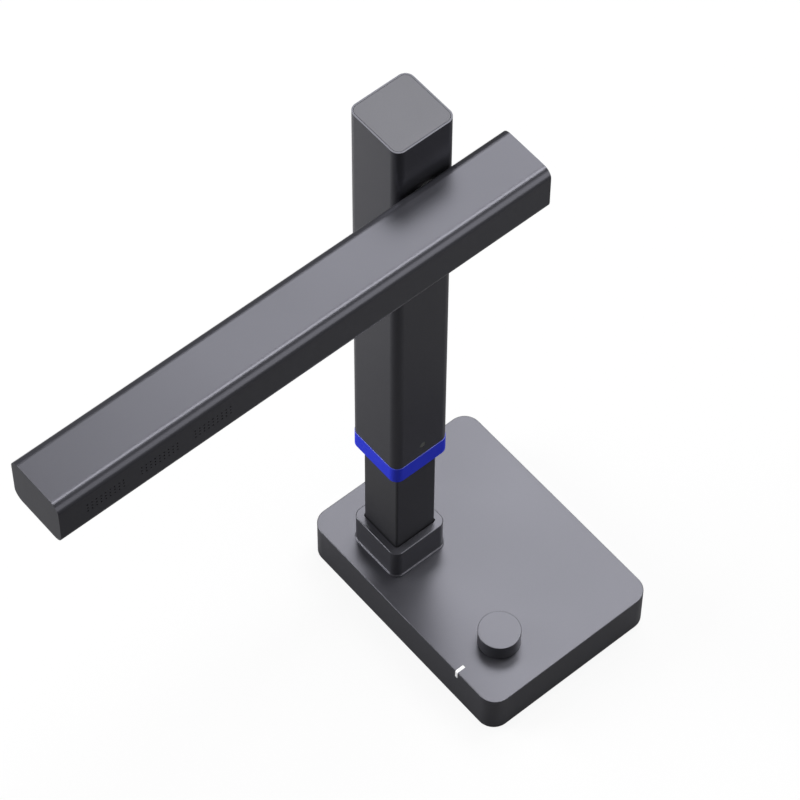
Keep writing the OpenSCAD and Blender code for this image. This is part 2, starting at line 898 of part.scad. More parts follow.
module knob_insert() {
    bottom = knob_bottom + insert_lift;
    height = insert_roof - bottom;
    color(soft_black) at_knob(bottom) difference() {
        cylinder(d = knob_d - 2*knob_wall - 2*seat_gap, h = height);
        translate([0, 0, -cut]) cylinder(d = insert_cavity_d, h = insert_cavity_h + cut);
        translate([0, 0, insert_cavity_h - cut]) difference() {
            cylinder(d = knob_shaft_d + 2*seat_gap,
                h = shaft_top - bottom - insert_cavity_h + cut + seat_gap);
            translate([knob_shaft_d/2 - knob_flat + seat_gap, -knob_shaft_d, -cut])
                cube([knob_shaft_d, 2*knob_shaft_d, knob_h + cut]);
        }
    }
}

module sleeve() {
    color(satin_grey) difference() {
        at_mast(ring_top) linear_extrude(mast_top - ring_top) difference() {
            round_rect(sleeve_w, sleeve_w, sleeve_r);
            round_rect(sleeve_in, sleeve_in, sleeve_in_r);
        }
        at_mast(mast_top - cap_t)
            block(sleeve_w - 2*cap_rim, sleeve_w - 2*cap_rim, sleeve_r - cap_rim, cap_t + cut);
        on_hinge(mast_y - sleeve_w/2 - cut)
            cylinder(d = shaft_d + 2*slide_gap, h = sleeve_wall + 2*cut);
        for (p = block_screws_at())
            on_hinge(mast_y - sleeve_w/2) translate(p)
                sunk_hole(m3_d, sleeve_wall + cut, m3_head_d, m3_head_h);
        translate([mast_x, mast_y - sleeve_w/2 - cut, ring_top + rivet_above_ring])
            rotate([-90, 0, 0]) cylinder(d = rivet_d + 2*seat_gap, h = sleeve_wall + 2*cut);
    }
}

module sleeve_cap() {
    rim = sleeve_w - 2*cap_rim - 2*cap_groove;
    skirt = sleeve_in - 2*seat_gap;
    color(satin_grey) at_mast(mast_top - cap_t) {
        block(rim, rim, sleeve_r - cap_rim - cap_groove, cap_t);
        translate([0, 0, -cap_skirt_h])
            linear_extrude(cap_skirt_h + cap_t/2) difference() {
                round_rect(skirt, skirt, sleeve_in_r - seat_gap);
                round_rect(skirt - 2*cap_skirt_t, skirt - 2*cap_skirt_t,
                    sleeve_in_r - seat_gap - cap_skirt_t);
            }
    }
}

module sleeve_ring() {
    band = sleeve_w + 2*ring_proud;
    plug = sleeve_in - 2*plug_seat;
    color(ring_blue) at_mast(ring_bottom) difference() {
        union() {
            soft_block(band, band, sleeve_r + ring_proud, ring_h, ring_edge_r);
            block(plug, plug, sleeve_in_r - plug_seat, ring_h + plug_h);
        }
        translate([0, 0, -cut]) linear_extrude(ring_h + plug_h + 2*cut)
            column_gap_outline(slide_gap);
        translate([-sleeve_w, -pad_w/2 - pad_seat, pad_z - pad_h/2 - pad_seat - ring_bottom])
            cube([2*sleeve_w, pad_w + 2*pad_seat, pad_h + 2*pad_seat]);
        translate([0, -sleeve_w/2 - cut, ring_h + rivet_above_ring])
            rotate([-90, 0, 0]) cylinder(d = rivet_d + 2*seat_gap, h = rivet_l + cut + seat_gap);
    }
}

module ring_rivet() {
    color(dark_steel)
        translate([mast_x, mast_y - sleeve_w/2, ring_top + rivet_above_ring])
            rotate([-90, 0, 0]) cylinder(d = rivet_d, h = rivet_l);
}

module friction_pads() {
    color(lamp_white) for (s = [-1, 1])
        translate([mast_x + s*(column_w/2 + face_gap + pad_depth/2), mast_y, pad_z])
            cube([pad_depth, pad_w, pad_h], center = true);
}

// Bowed leaf springs that press the pads on the column
module pad_springs() {
    near = column_w/2 + face_gap + pad_depth + seat_gap;
    far = sleeve_in/2 - seat_gap - spring_t;
    color(steel) for (s = [0, 1])
        at_mast(pad_z) mirror([s, 0, 0]) rotate([90, 0, 0])
            translate([0, 0, -spring_w/2]) linear_extrude(spring_w)
                polygon([[far, -spring_half], [far + spring_t, -spring_half],
                    [near + spring_t, 0], [far + spring_t, spring_half],
                    [far, spring_half], [near, 0]]);
}

module hinge_block() {
    color(dark_steel) difference() {
        translate([mast_x - block_w/2, block_y, bar_z - block_h/2])
            cube([block_w, block_d, block_h]);
        for (x = [-1, 1])
            translate([mast_x + x*(block_w/2 - block_r), block_y, bar_z - block_h])
                difference() {
                    translate([x > 0 ? 0 : -block_r - cut, -cut, 0])
                        cube([block_r + cut, block_r + cut, 2*block_h]);
                    translate([0, block_r, -cut]) cylinder(r = block_r, h = 2*block_h + 2*cut);
                }
        on_hinge(block_y - cut)
            cylinder(d = shaft_d + 2*run_gap + 2*bush_t + 2*seat_gap, h = block_d + 2*cut);
        for (p = block_screws_at())
            on_hinge(block_y - cut) translate(p)
                cylinder(d = m3_d + 2*screw_gap, h = block_screw_l + cut);
        on_hinge(block_back - pin_sink) rotate([0, 0, pin_start])
            translate([pin_orbit, 0, 0]) cylinder(d = pin_d + 2*seat_gap, h = pin_sink + cut);
    }
}

module block_screws() {
    color(steel) for (p = block_screws_at())
        on_hinge(mast_y - sleeve_w/2 + screw_gap) translate(p)
            sunk_screw(m3_d, block_screw_l, m3_head_d, m3_head_h);
}

module hinge_bush() {
    color(brass) on_hinge(block_y) difference() {
        cylinder(d = shaft_d + 2*run_gap + 2*bush_t, h = block_d);
        translate([0, 0, -cut]) cylinder(d = shaft_d + 2*run_gap, h = block_d + 2*cut);
    }
}

module stop_pin() {
    color(steel) on_hinge(block_back - pin_sink) rotate([0, 0, pin_start])
        translate([pin_orbit, 0, 0])
            cylinder(d = pin_d, h = pin_sink + face_gap + stop_disc_t - pin_gap);
}

// The shaft's outline, with two flats that drive the stop disc
module flatted(grow) {
    intersection() {
        circle(d = shaft_d + 2*grow);
        square([shaft_d - 2*shaft_flat + 2*grow, 2*shaft_d], center = true);
    }
}

module hinge_shaft() {
    color(steel) difference() {
        union() {
            on_hinge(flange_y) cylinder(d = flange_d, h = flange_t);
            on_hinge(flange_y) cylinder(d = shaft_d, h = stop_disc_y - flange_y);
            on_hinge(stop_disc_y - cut) linear_extrude(shaft_end - stop_disc_y + cut) flatted(0);
        }
        on_hinge(flange_y - cut) cylinder(d = shaft_bore_d, h = shaft_end - flange_y + 2*cut);
        for (a = [45 : 90 : 315])
            on_hinge(flange_y - cut) rotate([0, 0, a]) translate([flange_screw_r, 0, 0])
                cylinder(d = m3_d + 2*screw_gap, h = flange_t + 2*cut);
    }
}

module flange_screws() {
    color(steel) for (a = [45 : 90 : 315])
        on_hinge(flange_y) rotate([0, 0, a]) translate([flange_screw_r, 0, 0])
            rotate([180, 0, 0])
                pan_screw(m3_d, flange_screw_l, flange_screw_head_d, flange_screw_head_h);
}

module hinge_spacer() {
    color(lamp_white) on_hinge(bar_back) difference() {
        cylinder(d = spacer_d, h = spacer_t);
        translate([0, 0, -cut]) cylinder(d = shaft_d + 2*seat_gap, h = spacer_t + 2*cut);
    }
}

// Its curved slot runs against the pin and sets both ends of the fold
module stop_disc() {
    slot = pin_d/2 + pin_gap;
    side = asin(slot/pin_orbit);
    color(steel) on_hinge(stop_disc_y) difference() {
        cylinder(d = stop_disc_d, h = stop_disc_t);
        translate([0, 0, -cut]) linear_extrude(stop_disc_t + 2*cut) flatted(seat_gap);
        rotate([0, 0, pin_start - side]) rotate_extrude(angle = fold_angle + 2*side)
            translate([pin_orbit - slot, -cut])
                square([2*slot, stop_disc_t + 2*cut]);
    }
}

// Two coned washers, back to back, that give the fold its friction
module disc_springs() {
    rise = disc_spring_rise;
    hole = shaft_d/2 + screw_gap;
    rim = disc_spring_d/2;
    color(steel) on_hinge(springs_y) for (s = [0, 1])
        translate([0, 0, disc_spring_t + rise]) mirror([0, 0, s]) rotate_extrude()
            polygon([[hole, rise], [rim, 0], [rim, disc_spring_t], [hole, disc_spring_t + rise]]);
}

module lock_nut() {
    color(steel) on_hinge(nut_y) difference() {
        cylinder(d = nut_flats/cos(30), h = nut_t, $fn = 6);
        translate([0, 0, -cut]) cylinder(d = shaft_d + 2*seat_gap, h = nut_t + 2*cut);
    }
}

// Places of the bottom cover's screws along the bar
function bar_bosses() = [bar_x0 + frame_inset + bar_boss_d/2,
    (camera_x + cam_board_w/2 + cam_board_tail + lamp_x - led_board_l/2)/2,
    lamp_x + led_board_l/2 + bar_boss_d, bar_x1 - frame_inset - bar_boss_d/2];

module bar_housing() {
    holes = [for (g = [0 : 2], c = [0 : hole_cols - 1], r = [0 : hole_rows - 1])
        [bar_x0 + group_inset + g*group_pitch + (c - (hole_cols - 1)/2)*hole_pitch_x,
         bar_z - (r - (hole_rows - 1)/2)*hole_pitch_z]];
    color(satin_grey) {
        difference() {
            bar_section(bar_w, bar_h, bar_r, bar_x0, bar_x1);
            bar_section(bar_w - 2*bar_wall, bar_h - 2*bar_wall, bar_r - bar_wall,
                bar_x0 + bar_wall, bar_x1 - bar_wall);
            translate([bar_x0 + cover_inset, bar_mid_y - cover_w/2, bar_bottom - cut])
                cube([bar_len - 2*cover_inset, cover_w, bar_wall + 2*cut]);
            on_hinge(bar_back - bar_wall - cut)
                cylinder(d = shaft_d + 2*screw_gap, h = bar_wall + 2*cut);
            for (a = [45 : 90 : 315])
                on_hinge(bar_back - bar_wall - cut) rotate([0, 0, a])
                    translate([flange_screw_r, 0, 0])
                        cylinder(d = m3_d + 2*screw_gap, h = cut + bar_wall - face_gap);
            for (p = holes)
                translate([p.x, bar_front - cut, p.y]) rotate([-90, 0, 0])
                    cylinder(d = hole_d, h = bar_wall + 2*cut, $fn = 24);
        }
        for (x = bar_bosses())
            translate([x, bar_mid_y, bar_floor + seat_gap]) difference() {
                cylinder(d = bar_boss_d, h = bar_ceiling - bar_floor + bar_wall/2);
                translate([0, 0, -cut])
                    cylinder(d = m3_d + 2*screw_gap, h = bar_boss_pilot + cut);
            }
    }
}

// Folded steel strip along the bar's back wall, which the hinge carries
module bar_frame() {
    x0 = bar_x0 + frame_inset;
    length = bar_len - 2*frame_inset;
    color(dark_steel) difference() {
        union() {
            translate([x0, frame_y, frame_bottom]) cube([length, frame_t, frame_h]);
            translate([x0, frame_y - frame_lip, frame_bottom + frame_h - frame_t])
                cube([length, frame_lip + frame_t/2, frame_t]);
        }
        translate([mast_x - flange_d/2 - frame_t, frame_y - frame_lip - cut, bar_z])
            cube([flange_d + 2*frame_t, frame_lip + cut, frame_h]);
        on_hinge(frame_y - cut) cylinder(d = shaft_d + 2*screw_gap, h = frame_t + 2*cut);
        for (a = [45 : 90 : 315])
            on_hinge(frame_y - cut) rotate([0, 0, a]) translate([flange_screw_r, 0, 0])
                cylinder(d = m3_d + 2*screw_gap, h = frame_t + 2*cut);
    }
}

function camera_posts() = [for (x = [-1, 1], y = [-1, 1])
    [camera_x + x*(cam_board_w/2 - cam_post_inset_x),
     bar_mid_y + y*(cam_board_d/2 - cam_post_inset_y)]];

function lamp_posts() = [for (x = [-1, 0, 1], y = [-1, 1])
    [lamp_x + x*(led_board_l/2 - led_post_d), bar_mid_y + y*(led_board_d/2 - led_post_inset)]];

module post(p, d, top) {
    translate([p.x, p.y, bar_floor - post_sink]) difference() {
        cylinder(d = d, h = top - bar_floor + post_sink);
        translate([0, 0, post_sink + top - bar_floor - m2_l + board_t])
            cylinder(d = m2_d + 2*screw_gap, h = m2_l);
    }
}

module bar_cover() {
    length = bar_len - 2*cover_inset - 2*cover_seat;
    color(soft_black) {
        difference() {
            translate([bar_x0 + cover_inset + cover_seat,
                bar_mid_y - cover_w/2 + cover_seat, bar_bottom])
                cube([length, cover_w - 2*cover_seat, cover_t]);
            translate([camera_x, bar_mid_y, bar_bottom - cut])
                cylinder(d = window_d + 2*seat_gap, h = window_t + cut);
            translate([camera_x, bar_mid_y, bar_bottom])
                cylinder(d = window_d - 2*window_ledge, h = cover_t + cut);
            translate([lamp_x - lamp_l/2 - seat_gap, bar_mid_y - lamp_w/2 - seat_gap,
                bar_bottom - cut])
                cube([lamp_l + 2*seat_gap, lamp_w + 2*seat_gap, cover_t + 2*cut]);
            for (x = bar_bosses())
                translate([x, bar_mid_y, bar_bottom])
                    sunk_hole(m3_d, cover_t + cut, m3_head_d, m3_head_h);
        }
        for (p = camera_posts()) post(p, cam_post_d, cam_board_z);
        for (p = lamp_posts()) post(p, led_post_d, led_board_z);
    }
}

module bar_screws() {
    color(steel) for (x = bar_bosses())
        translate([x, bar_mid_y, bar_bottom + screw_gap])
            sunk_screw(m3_d, bar_screw_l, m3_head_d, m3_head_h);
}

module led_board() {
    color(lamp_white) difference() {
        translate([lamp_x - led_board_l/2, bar_mid_y - led_board_d/2, led_board_z])
            cube([led_board_l, led_board_d, board_t]);
        for (p = lamp_posts())
            translate([p.x, p.y, led_board_z - cut])
                cylinder(d = m2_d + 2*screw_gap, h = board_t + 2*cut);
    }
}

module leds() {
    pitch = lamp_l/lamp_chips;
    color("gold") for (i = [0 : lamp_chips - 1])
        translate([lamp_x + (i - (lamp_chips - 1)/2)*pitch - chip_l/2,
            bar_mid_y - chip_w/2, led_z])
            cube([chip_l, chip_w, chip_t]);
}

module led_diffuser() {
    color(lamp_white) {
        translate([lamp_x - lamp_l/2, bar_mid_y - lamp_w/2, bar_bottom])
            cube([lamp_l, lamp_w, cover_t + lamp_flange_t]);
        translate([lamp_x - lamp_l/2 - lamp_flange/2, bar_mid_y - lamp_w/2 - lamp_flange/2,
            bar_floor])
            cube([lamp_l + lamp_flange, lamp_w + lamp_flange, lamp_flange_t]);
    }
}

module camera_board() {
    tail = camera_x + cam_board_w/2 + cam_board_tail;
    color(board_green) difference() {
        union() {
            translate([camera_x - cam_board_w/2, bar_mid_y - cam_board_d/2, cam_board_z])
                cube([cam_board_w + cam_board_tail, cam_board_d, board_t]);
            translate([tail - connector_l, cable_y - cable_d/2, bar_z - cable_d/2])
                cube([connector_l, cable_d, cam_board_z - bar_z + cable_d/2 + board_t/2]);
        }
        for (p = camera_posts())
            translate([p.x, p.y, cam_board_z - cut])
                cylinder(d = m2_d + 2*screw_gap, h = board_t + 2*cut);
    }
}

module bar_board_screws() {
    color(steel) {
        for (p = camera_posts())
            translate([p.x, p.y, cam_board_z + board_t])
                pan_screw(m2_d, m2_l, m2_head_d, m2_head_h);
        for (p = lamp_posts())
            translate([p.x, p.y, led_board_z + board_t])
                pan_screw(m2_d, m2_l, m2_head_d, m2_head_h);
    }
}

module lens_holder() {
    color(soft_black) translate([camera_x, bar_mid_y, cam_board_z - holder_h]) difference() {
        translate([-holder_w/2, -holder_w/2, 0]) cube([holder_w, holder_w, holder_h]);
        translate([0, 0, -cut]) cylinder(d = lens_d + 2*seat_gap, h = holder_h + 2*cut);
    }
}

module lens_barrel() {
    color(soft_black) translate([camera_x, bar_mid_y, barrel_z]) difference() {
        cylinder(d = lens_d, h = barrel_l);
        translate([0, 0, -cut]) cylinder(d = lens_d - 2*barrel_wall, h = barrel_l + 2*cut);
    }
}

module lens_glass() {
    color(lens_tint) translate([camera_x, bar_mid_y, barrel_z + seat_gap])
        cylinder(d = lens_d - 2*barrel_wall - 2*seat_gap, h = lens_t);
}

module camera_window() {
    color(lens_tint) translate([camera_x, bar_mid_y, bar_bottom])
        cylinder(d = window_d, h = window_t);
}

// From the camera's board along the bar and out through the hinge shaft
module head_cable() {
    start = camera_x + cam_board_w/2 + cam_board_tail;
    branch = lamp_x + led_board_l/2 - 2*led_post_d;
    color(soft_black) {
        translate([start, cable_y, bar_z]) rotate([0, 90, 0])
            cylinder(d = cable_d, h = mast_x - cable_bend - start);
        translate([mast_x - cable_bend, cable_y + cable_bend, bar_z])
            rotate([0, 0, -90]) rotate_extrude(angle = 90)
                translate([cable_bend, 0]) circle(d = cable_d);
        on_hinge(cable_y + cable_bend)
            cylinder(d = cable_d, h = shaft_end - cable_y - cable_bend);
        translate([branch, cable_y, led_board_z + board_t])
            cylinder(d = cable_d/2, h = bar_z - led_board_z - board_t);
    }
}

module speaker(n) {
    color(soft_black) translate([bar_x0 + group_inset + n*group_pitch - speaker_w/2,
        bar_front + bar_wall + speaker_rim_gap, bar_z - speaker_h/2]) difference() {
        cube([speaker_w, speaker_t, speaker_h]);
        translate([speaker_w/2, -cut, speaker_h/2]) rotate([-90, 0, 0])
            cylinder(d = speaker_cone_d, h = speaker_cone_depth + cut);
    }
}

module speaker_1() { speaker(0); }
module speaker_2() { speaker(1); }
module speaker_3() { speaker(2); }

base_cover();
base_plate();
base_pad();
base_screws();
counterweight();
main_board();
board_standoffs();
board_screws();
usb_c_port();
mast_cable();
knob_ribbon();
knob_board();
encoder_body();
encoder_nut();
status_led();
light_pipe();
collar();
column_foot();
column();
column_screws();
column_guide();
slide_stop();
coiled_lead();
encoder_plunger();
encoder_shaft();
knob_cap();
knob_insert();
sleeve();
sleeve_cap();
sleeve_ring();
ring_rivet();
friction_pads();
pad_springs();
hinge_block();
block_screws();
hinge_bush();
stop_pin();
hinge_shaft();
flange_screws();
hinge_spacer();
stop_disc();
disc_springs();
lock_nut();
bar_housing();
bar_frame();
bar_cover();
bar_screws();
led_board();
leds();
led_diffuser();
camera_board();
bar_board_screws();
lens_holder();
lens_barrel();
lens_glass();
camera_window();
head_cable();
speaker_1();
speaker_2();
speaker_3();
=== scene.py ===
import json
import math
import bmesh
import bpy
from mathutils import Matrix, Vector


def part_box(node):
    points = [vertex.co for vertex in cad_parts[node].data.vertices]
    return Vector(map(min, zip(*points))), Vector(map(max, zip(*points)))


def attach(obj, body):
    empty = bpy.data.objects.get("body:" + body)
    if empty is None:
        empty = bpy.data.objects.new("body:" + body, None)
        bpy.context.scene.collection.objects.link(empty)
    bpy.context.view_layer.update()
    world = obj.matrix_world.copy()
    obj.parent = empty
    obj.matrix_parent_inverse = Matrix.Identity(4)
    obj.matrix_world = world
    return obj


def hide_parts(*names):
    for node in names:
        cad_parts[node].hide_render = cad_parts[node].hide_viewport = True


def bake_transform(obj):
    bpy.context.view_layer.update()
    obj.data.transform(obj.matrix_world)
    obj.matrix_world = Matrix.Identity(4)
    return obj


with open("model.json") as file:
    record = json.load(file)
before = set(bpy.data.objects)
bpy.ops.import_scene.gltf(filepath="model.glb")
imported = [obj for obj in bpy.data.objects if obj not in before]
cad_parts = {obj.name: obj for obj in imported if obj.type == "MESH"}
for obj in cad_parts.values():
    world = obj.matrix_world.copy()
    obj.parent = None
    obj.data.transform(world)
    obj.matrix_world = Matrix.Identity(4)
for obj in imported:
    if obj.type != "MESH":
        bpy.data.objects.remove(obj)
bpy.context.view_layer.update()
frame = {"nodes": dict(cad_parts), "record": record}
nodes = frame["nodes"]
mm = 0.001
print("frame loaded:", len(nodes), "nodes")


# small helpers

def deselectAll():
    if bpy.context.object and bpy.context.object.mode != "OBJECT":
        bpy.ops.object.mode_set(mode="OBJECT")
    bpy.ops.object.select_all(action="DESELECT")


def onlySelect(piece):
    deselectAll()
    piece.select_set(True)
    bpy.context.view_layer.objects.active = piece


def added(name):
    # the object that the last operator made, under its name
    bpy.context.object.name = name
    return bpy.context.object


def newObject(name, data):
    piece = bpy.data.objects.new(name, data)
    bpy.context.scene.collection.objects.link(piece)
    return piece


def middleOf(low, high):
    return Vector([(a + b) / 2 for a, b in zip(low, high)])


def extent(points):
    return [Vector([end(p[k] for p in points) for k in range(3)]) for end in (min, max)]


# camera, solved from the edges of the object in the photograph
photoView = {"place": (-0.80191, -0.87084, 1.99082), "target": (0.0481, 0.1311, 0.001),
             "roll": 0.351, "lens": 171.81, "sensor": 36.0, "clip": (0.05, 40)}


def placeCamera():
    deselectAll()
    bpy.ops.object.camera_add(location=photoView["place"])
    cam = added("photoCamera")
    ahead = (Vector(photoView["target"]) - Vector(photoView["place"])).normalized()
    level = ahead.cross(Vector((0, 0, 1))).normalized()
    upright = level.cross(ahead)
    roll = math.radians(photoView["roll"])
    right = math.cos(roll) * level + math.sin(roll) * upright
    up = math.cos(roll) * upright - math.sin(roll) * level
    cam.rotation_mode = "QUATERNION"
    cam.rotation_quaternion = Matrix((right, up, -ahead)).transposed().to_quaternion()
    cam.data.lens = photoView["lens"]
    cam.data.sensor_width = photoView["sensor"]
    cam.data.clip_start, cam.data.clip_end = photoView["clip"]
    bpy.context.scene.camera = cam


placeCamera()
print("camera placed")


# studio: soft boxes, a pale floor and a white surround
softBoxes = {
    "overheadBox": {"aim": (0.36, 0.0, 0.93), "size": (1.7, 0.65), "glow": 8.5},
    "rearBox": {"aim": (0.43, 0.42, 0.80), "size": (1.4, 0.8), "glow": 4.8},
    "frontBox": {"aim": (0.46, -0.82, 0.33), "size": (1.8, 1.8), "glow": 2.1},
    "leftBox": {"aim": (-0.69, 0.66, 0.34), "size": (1.5, 1.2), "glow": 9.4},
}
studioMiddle, boxReach = Vector((0, 0, 0.2)), 2.2


def addSoftBox(name, spec):
    way = Vector(spec["aim"]).normalized()
    across = (Vector((1, 0, 0)) - way * way.x).normalized()
    deselectAll()
    bpy.ops.object.light_add(type="AREA", location=studioMiddle + way * boxReach)
    lamp = added(name)
    lamp.rotation_mode = "QUATERNION"
    lamp.rotation_quaternion = Matrix((across, way.cross(across), way)).transposed().to_quaternion()
    lamp.data.shape = "RECTANGLE"
    lamp.data.size, lamp.data.size_y = spec["size"]
    # glow is the brightness of the box's face
    lamp.data.energy = spec["glow"] * math.pi * spec["size"][0] * spec["size"][1]
    lamp.visible_camera = False


def addNode(tree, kind, **settings):
    node = tree.nodes.new("ShaderNode" + kind)
    for key, value in settings.items():
        setattr(node, key, value)
    return node


def wire(start, end):
    start.id_data.links.new(start, end)


def setInputs(node, values):
    for socket, value in values.items():
        node.inputs[socket].default_value = value


def nodeMath(tree, operation, first, second):
    node = addNode(tree, "Math", operation=operation)
    for socket, value in zip(node.inputs, (first, second)):
        if isinstance(value, float):
            socket.default_value = value
        else:
            wire(value, socket)
    return node.outputs[0]


def mixShaders(tree, share, first, second):
    mix = addNode(tree, "MixShader")
    for start, socket in zip((share, first, second), mix.inputs):
        wire(start, socket)
    return mix.outputs[0]


def clearTree(block):
    block.use_nodes = True
    block.node_tree.nodes.clear()
    return block.node_tree


def whiteMask(tree, cameraShare, glossShare):
    # camera and glass see the white surround, and metal sees it softer
    path = addNode(tree, "LightPath")
    seen = nodeMath(tree, "MAXIMUM", path.outputs["Is Camera Ray"], path.outputs["Is Transmission Ray"])
    return nodeMath(tree, "MAXIMUM", nodeMath(tree, "MULTIPLY", seen, cameraShare),
                    nodeMath(tree, "MULTIPLY", path.outputs["Is Glossy Ray"], glossShare))


floorLook = {"size": 14.0, "colour": 0.8, "bounceColour": 0.17, "cameraShare": 0.9, "glossShare": 0.02}
worldLook = {"fill": 0.06, "glossShare": 0.12}
# painted light and shade on the floor that only reflections see: a painted pool of light behind the mast, a
# painted shade before the object; middle, reach, colour
paintedFloorLightAndShade = (((-0.17, 0.40, 0.0), 0.34, 0.52), ((-0.36, -0.42, 0.0), 0.6, 0.05))


def makeWorld():
    world = bpy.data.worlds.new("studioWorld")
    bpy.context.scene.world = world
    tree = clearTree(world)
    fill, white = addNode(tree, "Background"), addNode(tree, "Background")
    setInputs(fill, {"Color": (1, 1, 1, 1), "Strength": worldLook["fill"]})
    setInputs(white, {"Color": (1, 1, 1, 1)})
    mask = whiteMask(tree, 1.0, worldLook["glossShare"])
    wire(mixShaders(tree, mask, fill.outputs[0], white.outputs[0]), addNode(tree, "OutputWorld").inputs[0])


# the floor's colour for reflections, with the painted pool of light and the painted shade laid over it
def floorWithPaintedLightAndShade(tree):
    where = addNode(tree, "TexCoord").outputs["Object"]
    under = None
    for middle, reach, colour in paintedFloorLightAndShade:
        away = addNode(tree, "VectorMath", operation="DISTANCE")
        away.inputs[1].default_value = middle
        patch = addNode(tree, "MapRange", interpolation_type="SMOOTHSTEP")
        setInputs(patch, {"From Max": reach, "To Min": colour, "To Max": floorLook["bounceColour"]})
        wire(where, away.inputs[0])
        wire(away.outputs["Value"], patch.inputs["Value"])
        if under:
            wire(under, patch.inputs["To Max"])
        under = patch.outputs[0]
    return under


def makeFloor():
    deselectAll()
    bpy.ops.mesh.primitive_plane_add(size=floorLook["size"], location=(0, 0, 0))
    floor = added("studioFloor")
    paint = bpy.data.materials.new("floorPaint")
    tree = clearTree(paint)
    shade = addNode(tree, "MapRange")
    shade.inputs["To Max"].default_value = floorLook["colour"]
    wire(floorWithPaintedLightAndShade(tree), shade.inputs["To Min"])
    wire(whiteMask(tree, 1.0, 0.0), shade.inputs["Value"])
    matt = addNode(tree, "BsdfDiffuse")
    wire(shade.outputs[0], matt.inputs["Color"])
    mask = whiteMask(tree, floorLook["cameraShare"], floorLook["glossShare"])
    above = mixShaders(tree, mask, matt.outputs[0], addNode(tree, "Emission").outputs[0])
    # clear from below, so that views from under the desk see the object
    side = addNode(tree, "NewGeometry").outputs["Backfacing"]
    both = mixShaders(tree, side, above, addNode(tree, "BsdfTransparent").outputs[0])
    wire(both, addNode(tree, "OutputMaterial").inputs[0])
    floor.data.materials.append(paint)


for name, spec in softBoxes.items():
    addSoftBox(name, spec)
makeWorld()
makeFloor()
bpy.context.scene.view_settings.view_transform = "Standard"
print("studio lit")


# finishes: each one comes from textures on object coordinates, in metres
finishes = {}


def newFinish(name, base, rough, metal=0.0):
    mat = bpy.data.materials.new(name)
    finishes[mat.name] = mat
    tree = clearTree(mat)
    shader = addNode(tree, "BsdfPrincipled")
    wire(shader.outputs[0], addNode(tree, "OutputMaterial").inputs[0])
    setInputs(shader, {"Base Color": (*base, 1), "Roughness": rough, "Metallic": metal})
    return tree, shader


def pattern(tree, kind, scale, stretch=(1, 1, 1), detail=3.0, turn=(0, 0, 0)):
    place, tex = addNode(tree, "Mapping"), addNode(tree, "Tex" + kind)
    setInputs(place, {"Scale": stretch, "Rotation": turn})
    setInputs(tex, {"Scale": scale, "Detail": detail} if "Detail" in tex.inputs else {"Scale": scale})
    wire(addNode(tree, "TexCoord").outputs["Object"], place.inputs["Vector"])
    wire(place.outputs[0], tex.inputs["Vector"])
    return tex.outputs["Fac" if "Fac" in tex.outputs else "Distance"]


def spread(tree, value, low, high, start=0.25, end=0.75):
    scaled = addNode(tree, "MapRange")
    setInputs(scaled, {"From Min": start, "From Max": end, "To Min": low, "To Max": high})
    wire(value, scaled.inputs["Value"])
    return scaled.outputs[0]


def tone(tree, value, dark, light, start=0.3, end=0.7):
    ramp = addNode(tree, "ValToRGB")
    for stop, place, colour in zip(ramp.color_ramp.elements, (start, end), (dark, light)):
        stop.position = place
        stop.color = (*colour, 1)
    wire(value, ramp.inputs[0])
    return ramp.outputs[0]


def bumpy(tree, shader, value, depth):
    bump = addNode(tree, "Bump")
    setInputs(bump, {"Distance": depth, "Strength": 1.0})
    wire(value, bump.inputs["Height"])
    wire(bump.outputs[0], shader.inputs["Normal"])


